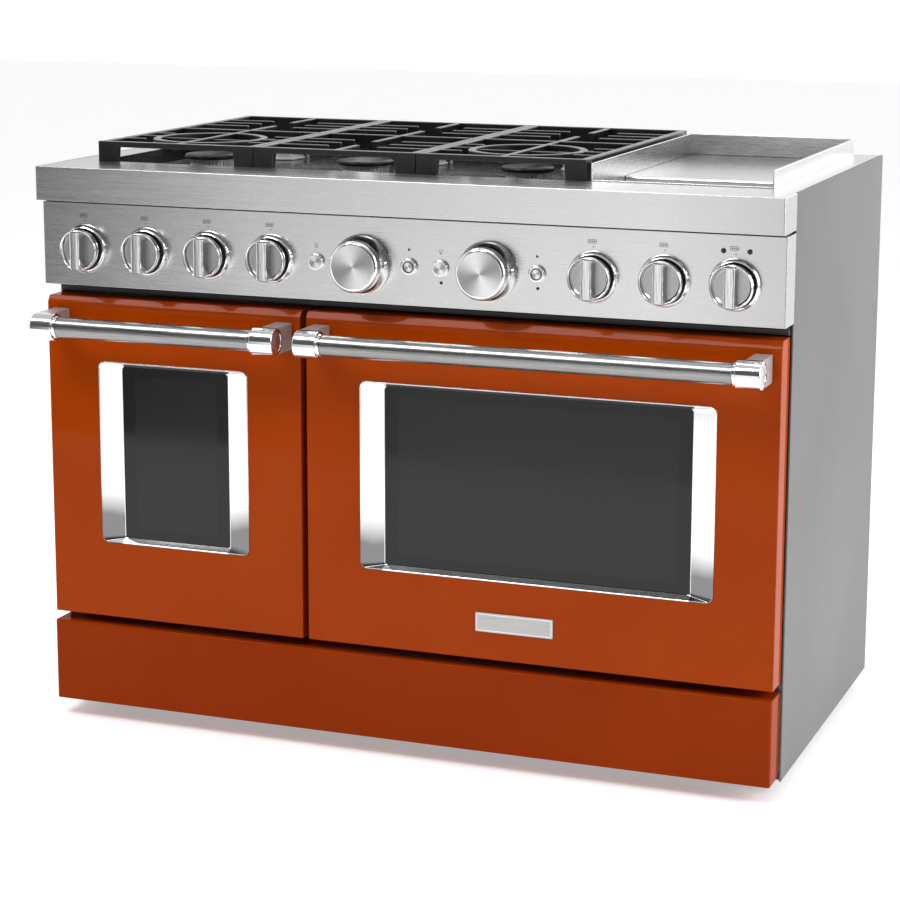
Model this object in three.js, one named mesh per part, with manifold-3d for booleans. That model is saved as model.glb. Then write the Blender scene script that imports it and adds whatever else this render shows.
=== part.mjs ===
// A 48-inch freestanding gas range: six open burners and a griddle above a small and a large oven.
// Millimetres. X runs left to right, Y from the room to the wall, Z up from the floor.
// Inside the `range` group Y = 0 is the front face of the oven doors.
import * as THREE from 'three';
import { mergeVertices } from 'three/addons/utils/BufferGeometryUtils.js';
import Module from 'manifold-3d';

const manifold = await Module();
manifold.setup();
const { Manifold, Mesh: SolidMesh } = manifold;

// ---- driving dimensions ----

const overallWidth = 1216;
const sideX = overallWidth / 2;
const cooktopZ = 914; // top of the ledge around the burners
const wallY = 670; // back of the range
const bodyFrontY = 50; // front edges of the side panels
const gap = 0.3; // between pieces that touch
const sheet = 3; // drawn thickness of formed sheet
const cornerR = 8; // rounded front corners of trim and control panel

const footHeight = 22;
const footPadR = 19;
const footPadH = 9;
const footStemR = 6;
const footStemTop = 44;
const footBossR = 14;

const frameX = sideX - 5; // outer faces of the chassis, inside the side panels
const frameFrontY = 62;
const frameRearY = 660;
const framePost = 20;
const frameFloorZ = 34;
const frameSheet = 4;
const frameRailZ = 705;
const frameTopZ = 910;

const sideFold = 18; // width of the side panels' returns
const pocketX = 470;
const pocketZ = 90;
const pocket = { halfX: 60, halfZ: 40, frontY: 635 };
const inletR = 13;
const glandR = 9;
const louvreXs = [-380, 0, 380];
const louvreRows = 5;
const louvreZ = 740;
const louvrePitch = 22;

const trimFrontY = -21;
const trimBottomZ = 860;

const panelTopZ = 856;
const panelBottomZ = 723;
const controlZ = 783; // height of knobs, dials and buttons
const ventPitch = 100;
const ventBarBottomZ = 706;
const ventBarTopZ = 716;
const ventBarY = 42; // the strip stands over the doors' back edge
const ventBarT = 6;

const kickBottomZ = 29;
const kickTopZ = 164;
const kickFrontY = -5;

const doorBottomZ = 178;
const doorTopZ = 704;
const doorDepth = 47;
const doorSideX = 604;
const doorSplitX = -153; // middle of the gap between the doors
const doorSplitGap = 10;
const doorEdge = 7; // depth of the slope along the top of a door's face
const doorChamfer = 11; // its height down the face

const windowBottomZ = 303;
const windowTopZ = 602;
const windowCorner = 11;
const bezelSide = 38; // wide left and right flanks
const bezelEnd = 8; // narrow top and bottom flanks
const bezelDepth = 9;
const glassT = 4;

const handleZ = 664;
const handleY = -60;
const handleBarR = 16.5;
const handleCapR = 21.7;
const handleInset = 12;
const postWidth = 27;
const capLength = 43;
const collarLength = 5;

const knobXs = [-532, -423, -314, -206, 317, 426, 532];
const knobNames = [
  'knob_left_rear', 'knob_left_front', 'knob_middle_rear', 'knob_middle_front',
  'knob_right_rear', 'knob_right_front', 'knob_griddle',
];
const knobR = 33;
const knobBezelR = 39.5;
const knobBezelH = 9;
const knobH = 27;
const knobDiscH = 19; // sunk face beside the grip
const knobGripH = 38;
const knobGripW = 17;
const dialXs = [-52, 153];
const dialR = 40;
const dialBaseR = 46;
const dialH = 41;
const buttonOffset = 77; // from a dial's centre to the button at each side
const buttonR = 13.6;
const buttonH = 6;
const buttonBack = 12;
const spindleR = 5;
const spindleBack = 16;

const grateLeftX = -556;
const gratePitch = 277;
const grateW = 276;
const grateFrontY = 92;
const grateL = 558;
const grateTopZ = 946;
const grateBar = 12;
const panFloorZ = 886;
const burnerCapZ = 912;
const grateSkirt = 9; // depth of the grates' front bar
const grateRearSkirt = 30;
const burnerFrontY = 222;
const burnerRearY = 505;

const griddleX0 = 281;
const griddleX1 = 563;
const griddleFrontY = 95;
const griddleRearY = 650;
const griddleWallZ = 941;
const griddleFloorZ = 893;
const griddlePlateZ = 906;
const griddlePlateFrontY = 262;

const cavityBottomZ = 246;
const cavityTopZ = 646;
const cavityBackY = 557;
const flangeFrontY = 54;
const rackZ = 402;
const rackDepth = 440;

// ---- materials ----

function metal(color, roughness, metalness) {
  return new THREE.MeshStandardMaterial({ color, roughness, metalness });
}
const orangePaint = () => metal(0xa8420f, 0.25, 0.1);
const greyPaint = () => metal(0x9c9c9c, 0.5, 0.1);
const stainless = () => metal(0xc9c9c7, 0.32, 1.0);
const chrome = () => metal(0xe4e4e4, 0.08, 1.0);
const castIron = () => metal(0x1c1c1d, 0.6, 0.35);
const enamel = () => metal(0x23262c, 0.25, 0.1);
const zincSteel = () => metal(0x8f9396, 0.45, 0.9);
const burnerBrass = () => metal(0xb9b3a6, 0.35, 0.9);

// ---- shape helpers ----

function solidOf(geometry) {
  const bare = new THREE.BufferGeometry();
  bare.setAttribute('position', geometry.getAttribute('position'));
  bare.setIndex(geometry.getIndex());
  const welded = mergeVertices(bare, 1e-4);
  const corners = welded.getIndex().array;
  const kept = [];
  for (let i = 0; i < corners.length; i += 3) {
    const [a, b, c] = [corners[i], corners[i + 1], corners[i + 2]];
    if (a !== b && b !== c && c !== a) {
      kept.push(a, b, c);
    }
  }
  return new Manifold(new SolidMesh({
    numProp: 3,
    vertProperties: new Float32Array(welded.getAttribute('position').array),
    triVerts: new Uint32Array(kept),
  }));
}

function geometryOf(solid) {
  const made = solid.getMesh();
  const geometry = new THREE.BufferGeometry();
  geometry.setAttribute('position', new THREE.BufferAttribute(made.vertProperties, 3));
  geometry.setIndex(new THREE.BufferAttribute(made.triVerts, 1));
  const flat = geometry.toNonIndexed();
  flat.computeVertexNormals();
  return flat;
}

function join(...pieces) {
  return geometryOf(Manifold.union(pieces.map(solidOf)));
}

function cut(body, ...tools) {
  return geometryOf(solidOf(body).subtract(Manifold.union(tools.map(solidOf))));
}

// A block between two corners.
function block(x0, x1, y0, y1, z0, z1) {
  const box = new THREE.BoxGeometry(x1 - x0, y1 - y0, z1 - z0);
  box.translate((x0 + x1) / 2, (y0 + y1) / 2, (z0 + z1) / 2);
  return box;
}

// A rectangle in a plane, each corner with its own radius: [left-low, right-low, right-high, left-high].
function roundedRect(x0, x1, y0, y1, radii) {
  const [a, b, c, d] = radii;
  const shape = new THREE.Shape();
  shape.moveTo(x0 + a, y0);
  shape.lineTo(x1 - b, y0);
  if (b > 0) shape.absarc(x1 - b, y0 + b, b, -Math.PI / 2, 0, false);
  shape.lineTo(x1, y1 - c);
  if (c > 0) shape.absarc(x1 - c, y1 - c, c, 0, Math.PI / 2, false);
  shape.lineTo(x0 + d, y1);
  if (d > 0) shape.absarc(x0 + d, y1 - d, d, Math.PI / 2, Math.PI, false);
  shape.lineTo(x0, y0 + a);
  if (a > 0) shape.absarc(x0 + a, y0 + a, a, Math.PI, 1.5 * Math.PI, false);
  return shape;
}

// A flat shape in plan, raised from z0 to z1.
function raised(shape, z0, z1, curveSegments = 3) {
  const solid = new THREE.ExtrudeGeometry(shape, { depth: z1 - z0, bevelEnabled: false, curveSegments });
  solid.translate(0, 0, z0);
  return solid;
}

// A shape in the X-Z plane, thickened from y0 to y1, with its edges rounded by `edge`.
function slab(shape, y0, y1, edge = 0) {
  const solid = new THREE.ExtrudeGeometry(shape, {
    depth: y1 - y0 - 2 * edge,
    bevelEnabled: edge > 0,
    bevelThickness: edge,
    bevelSize: edge,
    bevelOffset: -edge,
    bevelSegments: 2,
    curveSegments: 3,
  });
  solid.rotateX(Math.PI / 2);
  solid.translate(0, y1 - edge, 0);
  return solid;
}

// A tapering block along Y: one rectangle at y0 and another at y1, both centred on (cx, cz).
function taper(cx, cz, y0, w0, h0, y1, w1, h1) {
  const box = new THREE.BoxGeometry(1, y1 - y0, 1);
  const at = box.getAttribute('position');
  for (let i = 0; i < at.count; i += 1) {
    const front = at.getY(i) < 0;
    at.setX(i, cx + at.getX(i) * (front ? w0 : w1));
    at.setZ(i, cz + at.getZ(i) * (front ? h0 : h1));
    at.setY(i, front ? y0 : y1);
  }
  return box;
}

// A block with its front face at Y = 0 and a slope along the top: `across` down the face, `deep` into it.
function slopedTop(x0, x1, z0, z1, depth, across, deep) {
  const side = new THREE.Shape();
  side.moveTo(0, z0);
  side.lineTo(depth, z0);
  side.lineTo(depth, z1);
  side.lineTo(deep, z1);
  side.lineTo(0, z1 - across);
  side.closePath();
  const solid = new THREE.ExtrudeGeometry(side, { depth: x1 - x0, bevelEnabled: false });
  const sideToX = new THREE.Matrix4().set(0, 0, 1, x0, 1, 0, 0, 0, 0, 1, 0, 0, 0, 0, 0, 1);
  return solid.applyMatrix4(sideToX);
}

// A round bar along X, Y or Z, from one end.
function rod(axis, radius, x, y, z, length, segments = 16) {
  const bar = new THREE.CylinderGeometry(radius, radius, length, segments);
  bar.translate(0, length / 2, 0);
  if (axis === 'x') bar.rotateZ(-Math.PI / 2);
  if (axis === 'z') bar.rotateX(Math.PI / 2);
  bar.translate(x, y, z);
  return bar;
}

// A turned piece whose axis points at the room: profile pairs are [radius, distance out].
function turnedOut(profile, segments) {
  const points = profile.map(([r, h]) => new THREE.Vector2(r, h));
  const piece = new THREE.LatheGeometry(points, segments);
  piece.rotateX(Math.PI);
  return piece;
}

// A turned piece standing up: profile pairs are [radius, height].
function turnedUp(profile, segments) {
  const points = profile.map(([r, h]) => new THREE.Vector2(r, h));
  const piece = new THREE.LatheGeometry(points, segments);
  piece.rotateX(Math.PI / 2);
  return piece;
}

const range = new THREE.Group();
range.name = 'range';

function add(parent, name, geometry, material, x = 0, y = 0, z = 0) {
  const mesh = new THREE.Mesh(geometry, material);
  mesh.name = name;
  mesh.position.set(x, y, z);
  parent.add(mesh);
  return mesh;
}

// ---- chassis ----

function baseFrame() {
  const [front, rear, t] = [frameFrontY, frameRearY, frameSheet];
  const railH = 10;
  const deckZ = frameFloorZ + t;
  const floor = block(-frameX, frameX, front, rear, frameFloorZ, deckZ);
  const divider = block(doorSplitX - t / 2, doorSplitX + t / 2, front - t, rear, deckZ - 1, frameRailZ + 1);
  const highFrontRail = block(-frameX, frameX, front, front + framePost, frameRailZ, frameRailZ + railH);
  const highRearRail = block(-frameX, frameX, rear - framePost, rear, frameRailZ, frameRailZ + railH);
  const posts = [];
  for (const x of [-frameX, frameX - framePost]) {
    for (const y of [front, rear - framePost]) {
      posts.push(block(x, x + framePost, y, y + framePost, deckZ - 1, frameTopZ));
    }
  }
  const bosses = [];
  const stems = [];
  for (const [x, y] of footSpots()) {
    bosses.push(rod('z', footBossR, x, y, footHeight + 4, deckZ - 1 - footHeight - 4, 12));
    stems.push(rod('z', footStemR + 2 * gap, x, y, footHeight - 1, 60, 12));
  }
  const frame = join(floor, divider, highFrontRail, highRearRail, ...posts, ...bosses);
  return cut(frame, ...stems);
}

function footSpots() {
  return [[-560, 100], [560, 100], [-560, 610], [560, 610]];
}

function foot() {
  return turnedUp([
    [0, 0], [footPadR, 0], [footPadR, footPadH], [footStemR, footPadH],
    [footStemR, footStemTop], [0, footStemTop],
  ], 12);
}

// A side sheet with a return along its back edge and its foot. `side` is -1 at the left, +1 at the right.
function sidePanel(side) {
  const across = (inner, outer, y0, y1, z0, z1) => (
    side > 0 ? block(inner, outer, y0, y1, z0, z1) : block(-outer, -inner, y0, y1, z0, z1)
  );
  const foldX = sideX - sideFold;
  const face = across(sideX - sheet, sideX, bodyFrontY, wallY, footHeight, cooktopZ);
  const backReturn = across(foldX, sideX - 1, wallY - sheet, wallY, footHeight, cooktopZ - 6);
  const footReturn = across(foldX, sideX - 1, bodyFrontY + 8, wallY, footHeight, footHeight + sheet);
  return join(face, backReturn, footReturn);
}

// The rear sheet, with louvres and a recessed pocket for the gas inlet and the cable gland.
function backPanel() {
  const halfW = sideX - sideFold - gap;
  const plate = block(-halfW, halfW, wallY - sheet, wallY, 40, cooktopZ - sheet - gap);
  const [px, pz] = [pocketX, pocketZ];
  const { halfX, halfZ, frontY } = pocket;
  const hull = block(px - halfX - sheet, px + halfX + sheet, frontY - sheet, wallY - 1,
    pz - halfZ - sheet, pz + halfZ + sheet);
  const hollow = block(px - halfX, px + halfX, frontY, wallY + 5, pz - halfZ, pz + halfZ);
  const inlet = rod('y', inletR, px - 20, frontY - 1, pz, 30, 12);
  const inletBore = rod('y', inletR - 5, px - 20, frontY + 7, pz, 40, 12);
  const gland = rod('y', glandR, px + 32, frontY - 1, pz, 16, 8);
  const louvres = [];
  for (const x of louvreXs) {
    for (let i = 0; i < louvreRows; i += 1) {
      const z = louvreZ + i * louvrePitch;
      louvres.push(block(x - 70, x + 70, wallY - 10, wallY + 5, z, z + 7));
    }
  }
  const shell = cut(join(plate, hull), hollow, ...louvres);
  return cut(join(shell, inlet, gland), inletBore);
}

function kickPanel() {
  const face = roundedRect(-doorSideX, doorSideX, kickFrontY, 48, [4, 4, 0, 0]);
  const inside = block(-doorSideX + sheet, doorSideX - sheet, kickFrontY + sheet, 60, 0, kickTopZ - sheet);
  return cut(raised(face, kickBottomZ, kickTopZ), inside);
}

// ---- cooktop ----

function grateX(i) {
  return grateLeftX + gratePitch * (i + 0.5);
}

function burnerSpots() {
  const spots = [];
  ['left', 'middle', 'right'].forEach((name, i) => {
    spots.push({ name: `${name}_front`, x: grateX(i), y: burnerFrontY, r: i === 1 ? 46 : 43 });
    spots.push({ name: `${name}_rear`, x: grateX(i), y: burnerRearY, r: i === 1 ? 36 : 43 });
  });
  return spots;
}

// Front trim, ledge and recessed burner tray in one pressing.
function cooktop() {
  const backEdge = bodyFrontY - gap;
  const nose = raised(roundedRect(-sideX, sideX, trimFrontY, backEdge, [cornerR, cornerR, 0, 0]),
    trimBottomZ, cooktopZ);
  const noseInside = block(-sideX + sheet, sideX - sheet, trimFrontY + sheet, 80,
    trimBottomZ - 5, cooktopZ - sheet);
  const inX = sideX - sheet - gap;
  const ledge = block(-inX, inX, backEdge - 1, wallY - gap, cooktopZ - sheet, cooktopZ);
  const trayX0 = grateLeftX - 1.5;
  const trayX1 = grateLeftX + 3 * gratePitch + 1.5;
  const trayY0 = grateFrontY - 1.5;
  const trayY1 = grateFrontY + grateL + 1.5;
  const tray = block(trayX0 - 2, trayX1 + 2, trayY0 - 2, trayY1 + 2, panFloorZ - sheet, cooktopZ - 1);
  const trayInside = block(trayX0, trayX1, trayY0, trayY1, panFloorZ, cooktopZ + 5);
  const griddleHole = block(griddleX0 - gap, griddleX1 + gap, griddleFrontY - gap, griddleRearY + gap,
    panFloorZ - 20, cooktopZ + 5);
  const burnerHoles = burnerSpots().map(({ x, y }) => rod('z', 20, x, y, panFloorZ - 10, 20, 16));
  const shell = join(cut(nose, noseInside), ledge, tray);
  return cut(shell, trayInside, griddleHole, ...burnerHoles);
}

function burnerHead(r) {
  const foot = panFloorZ + gap;
  return turnedUp([
    [0, 872], [19, 872], [19, foot], [r - 3, foot], [r - 6, foot + 5],
    [r - 5, burnerCapZ - gap], [0, burnerCapZ - gap],
  ], 16);
}

function burnerCap(r) {
  return turnedUp([
    [0, burnerCapZ], [r, burnerCapZ], [r, burnerCapZ + 5.5], [r - 3, burnerCapZ + 8], [0, burnerCapZ + 8],
  ], 20);
}

// A cast grate, drawn about the middle of its top face. `ringed` adds the ring over the front burner.
function grate(ringed) {
  const halfW = grateW / 2;
  const halfL = grateL / 2;
  const legDrop = panFloorZ + gap - grateTopZ;
  const midY = (burnerFrontY + burnerRearY) / 2 + 7 - (grateFrontY + halfL);
  const pieces = [];
  // side rails and the two end rails with their tapered legs
  for (const side of [-1, 1]) {
    const x0 = side < 0 ? -halfW : halfW - grateBar;
    pieces.push(block(x0, x0 + grateBar, -halfL, halfL, -13, 0));
    for (const legY of [-halfL, halfL - 30]) {
      pieces.push(block(x0, x0 + grateBar, legY, legY + 30, legDrop, -6));
    }
  }
  for (const [y0, skirt] of [[-halfL, grateSkirt], [halfL - grateBar, grateRearSkirt]]) {
    const face = new THREE.Shape();
    face.moveTo(-halfW, 0);
    face.lineTo(-halfW, legDrop);
    face.lineTo(-halfW + 31, legDrop);
    face.lineTo(-halfW + 36, -skirt);
    face.lineTo(halfW - 36, -skirt);
    face.lineTo(halfW - 31, legDrop);
    face.lineTo(halfW, legDrop);
    face.lineTo(halfW, 0);
    pieces.push(slab(face, y0, y0 + grateBar));
  }
  pieces.push(block(-halfW + 1, halfW - 1, midY - 5, midY + 5, -13, 0));
  // fingers round each burner
  const reach = halfW - 42;
  for (const burnerY of [burnerFrontY, burnerRearY]) {
    const y = burnerY - (grateFrontY + halfL);
    const ringHere = ringed && burnerY === burnerFrontY;
    const length = ringHere ? 46 : reach;
    for (const step of [-52, 0, 52]) {
      pieces.push(block(-halfW + 2, -halfW + length, y + step - 4, y + step + 4, -12, -0.4));
      pieces.push(block(halfW - length, halfW - 2, y + step - 4, y + step + 4, -12, -0.4));
    }
    if (ringHere) {
      const ring = new THREE.Shape();
      ring.absarc(0, 0, 94, 0, 2 * Math.PI, false);
      const hole = new THREE.Path();
      hole.absarc(0, 0, 82, 0, 2 * Math.PI, true);
      ring.holes.push(hole);
      const band = new THREE.ExtrudeGeometry(ring, { depth: 9, bevelEnabled: false, curveSegments: 16 });
      band.translate(0, y, -9.4);
      pieces.push(band);
      pieces.push(block(-4.5, 4.5, -halfL + 2, midY, -11, -0.2));
      pieces.push(block(-84, 84, y - 3.5, y + 3.5, -11, -3));
    } else {
      const nearEnd = burnerY === burnerFrontY ? -halfL + 2 : midY;
      const farEnd = burnerY === burnerFrontY ? midY : halfL - 2;
      pieces.push(block(-5, 5, nearEnd, y - 34, -12, -0.2));
      pieces.push(block(-5, 5, y + 34, farEnd, -12, -0.2));
    }
  }
  return join(...pieces);
}

function griddleSurround() {
  const hull = block(griddleX0, griddleX1, griddleFrontY, griddleRearY, griddleFloorZ - sheet, griddleWallZ);
  const inside = block(griddleX0 + sheet, griddleX1 - sheet, griddleFrontY + sheet, griddleRearY - sheet,
    griddleFloorZ, griddleWallZ + 5);
  const frontOpen = block(griddleX0 + sheet, griddleX1 - sheet, griddleFrontY - 5, griddleFrontY + 20,
    cooktopZ + 2, griddleWallZ + 5);
  return cut(hull, inside, frontOpen);
}

function griddlePlate() {
  return block(griddleX0 + sheet + gap, griddleX1 - sheet - gap, griddlePlateFrontY,
    griddleRearY - sheet - gap, griddleFloorZ + gap, griddlePlateZ);
}

// ---- control panel ----

function controlPanel() {
  const backEdge = bodyFrontY - gap;
  const face = roundedRect(-sideX, sideX, 0, backEdge, [cornerR, cornerR, 0, 0]);
  const inside = block(-sideX + sheet, sideX - sheet, sheet, 80, panelBottomZ + sheet, panelTopZ + 5);
  const shell = cut(raised(face, panelBottomZ, panelTopZ), inside);
  const ventBar = block(-doorSideX, doorSideX, ventBarY, ventBarY + ventBarT, ventBarBottomZ, ventBarTopZ);
  const tabs = [];
  for (let x = -6 * ventPitch; x <= 6 * ventPitch; x += ventPitch) {
    tabs.push(block(x - 3, x + 3, ventBarY, ventBarY + ventBarT - 1, ventBarTopZ - 1, panelBottomZ + 1));
  }
  const bezels = knobXs.map((x) => {
    const bezel = turnedOut([
      [0, -1], [knobBezelR, -1], [knobBezelR - 4, knobBezelH], [0, knobBezelH],
    ], 20);
    bezel.translate(x, 0, controlZ);
    return bezel;
  });
  const wellR = knobBezelR - 6;
  const wells = knobXs.map((x) => rod('y', wellR, x, -knobBezelH - 5, controlZ, knobBezelH + 3, 20));
  const spindleHoles = [...knobXs, ...dialXs].map((x) => rod('y', spindleR + gap, x, -20, controlZ, 40, 8));
  const buttonHoles = buttonXs().map((x) => rod('y', buttonR + gap, x, -5, controlZ, 20, 16));
  return cut(join(shell, ventBar, ...tabs, ...bezels), ...wells, ...spindleHoles, ...buttonHoles);
}

function buttonXs() {
  return dialXs.flatMap((x) => [x - buttonOffset, x + buttonOffset]);
}

// A burner knob: a plain skirt, a recessed disc and a thick upright grip with a pointer rib.
function knob() {
  const body = turnedOut([
    [0, knobBezelH - 5], [knobR - 3, knobBezelH - 5],
    [knobR - 1, knobH], [knobR - 3, knobH], [knobR - 6, knobDiscH], [0, knobDiscH],
  ], 20);
  const halfW = knobGripW / 2;
  const grip = roundedRect(-halfW, halfW, -knobR + 3, knobR - 3, [3, 3, 3, 3]);
  const spindle = rod('y', spindleR - 0.5, 0, -knobDiscH + 4, 0, knobDiscH - 4 + spindleBack, 8);
  return join(body, slab(grip, -knobGripH, -knobDiscH + 2), spindle);
}

function dial() {
  const body = turnedOut([
    [0, 2], [dialBaseR, 2], [dialBaseR, 12], [dialR + 1, 24],
    [dialR, dialH], [dialR - 6, dialH], [dialR - 7, dialH - 1.5], [0, dialH - 1.5],
  ], 28);
  return join(body, rod('y', spindleR - 0.5, 0, -10, 0, 10 + spindleBack, 8));
}

function button() {
  return turnedOut([
    [0, -buttonBack], [buttonR, -buttonBack], [buttonR, buttonH - 2], [buttonR - 2, buttonH],
    [0, buttonH],
  ], 16);
}

// ---- oven doors ----

function windowOf(door) {
  const w = door.windowX1 - door.windowX0;
  const h = windowTopZ - windowBottomZ;
  return {
    cx: (door.windowX0 + door.windowX1) / 2,
    cz: (windowTopZ + windowBottomZ) / 2,
    w,
    h,
    glassW: w - 2 * bezelSide,
    glassH: h - 2 * bezelEnd,
  };
}

function doorSkin(door) {
  const { x0, x1, windowX0, windowX1 } = door;
  const pressing = slopedTop(x0, x1, doorBottomZ, doorTopZ, doorDepth, doorChamfer, doorEdge);
  const inside = block(x0 + sheet, x1 - sheet, doorEdge, doorDepth + 5,
    doorBottomZ + sheet, doorTopZ - sheet);
  const shallow = block(x0 + 12, x1 - 12, sheet, doorEdge + 1, doorBottomZ + 12, doorTopZ - 12);
  const r = windowCorner + gap;
  const hole = slab(roundedRect(windowX0 - gap, windowX1 + gap, windowBottomZ - gap, windowTopZ + gap,
    [r, r, r, r]), -5, 20);
  return cut(pressing, inside, shallow, hole);
}

function windowTrim(door) {
  const { cx, cz, w, h, glassW, glassH } = windowOf(door);
  const r = windowCorner;
  const rim = slab(roundedRect(door.windowX0, door.windowX1, windowBottomZ, windowTopZ, [r, r, r, r]),
    -1, bezelDepth + 1.5);
  const bowl = taper(cx, cz, -1.2, w - 5, h - 5, bezelDepth, glassW, glassH);
  const through = taper(cx, cz, bezelDepth - 1, glassW, glassH, bezelDepth + 5, glassW, glassH);
  return cut(rim, bowl, through);
}

function outerGlass(door) {
  const { cx, cz, glassW, glassH } = windowOf(door);
  const y0 = bezelDepth + 1.5 + gap;
  return block(cx - glassW / 2 - 8, cx + glassW / 2 + 8, y0, y0 + glassT,
    cz - glassH / 2 - 5, cz + glassH / 2 + 5);
}

// The inner door panel, with a square duct that carries the view from the glass to the oven.
function doorLiner(door) {
  const { x0, x1 } = door;
  const { cx, cz, glassW, glassH } = windowOf(door);
  const edge = sheet + gap;
  const plate = block(x0 + edge, x1 - edge, doorDepth - 6, doorDepth - 2,
    doorBottomZ + edge, doorTopZ - edge);
  const halfW = glassW / 2 - 12;
  const halfH = glassH / 2 - 12;
  const ductY = bezelDepth + 1.5 + 2 * gap + glassT;
  const duct = block(cx - halfW - 3, cx + halfW + 3, ductY, doorDepth - 5, cz - halfH - 3, cz + halfH + 3);
  const view = block(cx - halfW, cx + halfW, ductY - 5, doorDepth + 5, cz - halfH, cz + halfH);
  return cut(join(plate, duct), view);
}

// A handle end: a round cap with a collar towards the bar, on a square arm back to the door.
// `side` is -1 for the left end of a handle and +1 for the right end.
function handlePost(side) {
  const cap = turnedUp([
    [0, 0], [handleCapR - 2, 0], [handleCapR, 2], [handleCapR, capLength - collarLength],
    [handleBarR + 1, capLength], [0, capLength],
  ], 20);
  cap.rotateY(-Math.PI / 2);
  if (side < 0) cap.rotateZ(Math.PI);
  const armX = side > 0 ? -postWidth - 1 : 1;
  const arm = block(armX, armX + postWidth, 0, -handleY - gap, -handleCapR, handleCapR);
  return join(cap, arm);
}

function handleBar(length) {
  return rod('x', handleBarR, 0, 0, 0, length, 20);
}

const doors = [
  {
    name: 'left_door',
    x0: -doorSideX,
    x1: doorSplitX - doorSplitGap / 2,
    windowX0: -514,
    windowX1: -250,
  },
  {
    name: 'right_door',
    x0: doorSplitX + doorSplitGap / 2,
    x1: doorSideX,
    windowX0: -58,
    windowX1: 510,
  },
];

function buildDoor(door) {
  const group = new THREE.Group();
  group.name = `${door.name}_group`;
  range.add(group);
  const handleX0 = door.x0 + handleInset;
  const handleX1 = door.x1 - handleInset;
  const barLength = handleX1 - handleX0 - 2 * capLength - 2 * gap;
  add(group, `${door.name}_skin`, doorSkin(door), orangePaint());
  add(group, `${door.name}_window_trim`, windowTrim(door), chrome());
  add(group, `${door.name}_glass`, outerGlass(door), metal(0x15171a, 0.06, 0.0));
  add(group, `${door.name}_liner`, doorLiner(door), enamel());
  add(group, `${door.name}_handle_bar`, handleBar(barLength), stainless(),
    handleX0 + capLength + gap, handleY, handleZ);
  add(group, `${door.name}_handle_post_left`, handlePost(-1), chrome(), handleX0, handleY, handleZ);
  add(group, `${door.name}_handle_post_right`, handlePost(1), chrome(), handleX1, handleY, handleZ);
}

function namePlate() {
  const face = roundedRect(134.5, 260.5, 222.5, 253, [2, 2, 2, 2]);
  return slab(face, -2.3, -gap);
}

// ---- ovens ----

// An open-fronted enamel box with a wide front frame and rack ledges on both side walls.
function ovenLiner(oven) {
  const { x0, x1, flangeX0, flangeX1 } = oven;
  const shell = block(x0 - sheet, x1 + sheet, flangeFrontY + 1, cavityBackY + sheet,
    cavityBottomZ - sheet, cavityTopZ + sheet);
  const flange = block(flangeX0, flangeX1, flangeFrontY, flangeFrontY + sheet, 172, ventBarBottomZ - 2);
  const cavity = block(x0, x1, flangeFrontY - 5, cavityBackY, cavityBottomZ, cavityTopZ);
  const ledges = [];
  for (const z of [rackZ - 104, rackZ - gap, rackZ + 104]) {
    ledges.push(block(x0 - 1, x0 + 9, flangeFrontY + 16, cavityBackY - 10, z - 5, z));
    ledges.push(block(x1 - 9, x1 + 1, flangeFrontY + 16, cavityBackY - 10, z - 5, z));
  }
  return join(cut(join(shell, flange), cavity), ...ledges);
}

function rack(oven) {
  const x0 = oven.x0 + 2;
  const x1 = oven.x1 - 2;
  const y1 = cavityBackY - 2;
  const y0 = y1 - rackDepth;
  const t = 6;
  const bars = [
    block(x0, x1, y0, y0 + t, 0, t),
    block(x0, x1, y1 - t, y1, 0, t),
    block(x0, x0 + t, y0, y1, 0, t),
    block(x1 - t, x1, y0, y1, 0, t),
    block(x0, x1, (y0 + y1) / 2 - 3, (y0 + y1) / 2 + 3, 0, t),
  ];
  const pitch = (x1 - x0) / oven.wires;
  for (let i = 1; i < oven.wires; i += 1) {
    bars.push(block(x0 + i * pitch - 2, x0 + i * pitch + 2, y0 + 1, y1 - 1, 2, t + 2));
  }
  return join(...bars);
}

const ovens = [
  { name: 'left_oven', x0: -544, x1: -216, flangeX0: -603, flangeX1: doorSplitX - 1, wires: 6 },
  { name: 'right_oven', x0: -92, x1: 544, flangeX0: doorSplitX + 1, flangeX1: 603, wires: 11 },
];

// ---- assembly ----

add(range, 'base_frame', baseFrame(), zincSteel());
footSpots().forEach(([x, y], i) => {
  const name = ['foot_front_left', 'foot_front_right', 'foot_rear_left', 'foot_rear_right'][i];
  add(range, name, foot(), zincSteel(), x, y, 0);
});
add(range, 'side_panel_left', sidePanel(-1), greyPaint());
add(range, 'side_panel_right', sidePanel(1), greyPaint());
add(range, 'back_panel', backPanel(), zincSteel());
add(range, 'kick_panel', kickPanel(), orangePaint());
add(range, 'cooktop', cooktop(), stainless());
add(range, 'control_panel', controlPanel(), stainless());
add(range, 'griddle_surround', griddleSurround(), stainless());
add(range, 'griddle_plate', griddlePlate(), stainless());
for (const { name, x, y, r } of burnerSpots()) {
  add(range, `burner_head_${name}`, burnerHead(r), burnerBrass(), x, y, 0);
  add(range, `burner_cap_${name}`, burnerCap(r), castIron(), x, y, 0);
}
['left', 'middle', 'right'].forEach((name, i) => {
  add(range, `grate_${name}`, grate(i !== 1), castIron(), grateX(i), grateFrontY + grateL / 2, grateTopZ);
});
knobXs.forEach((x, i) => add(range, knobNames[i], knob(), chrome(), x, 0, controlZ));
dialXs.forEach((x, i) => {
  const side = ['left', 'right'][i];
  add(range, `dial_${side}_oven`, dial(), chrome(), x, 0, controlZ);
  add(range, `button_light_${side}`, button(), chrome(), x - buttonOffset, 0, controlZ);
  add(range, `button_start_${side}`, button(), chrome(), x + buttonOffset, 0, controlZ);
});
doors.forEach(buildDoor);
add(range, 'right_door_name_plate', namePlate(), stainless());
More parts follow.
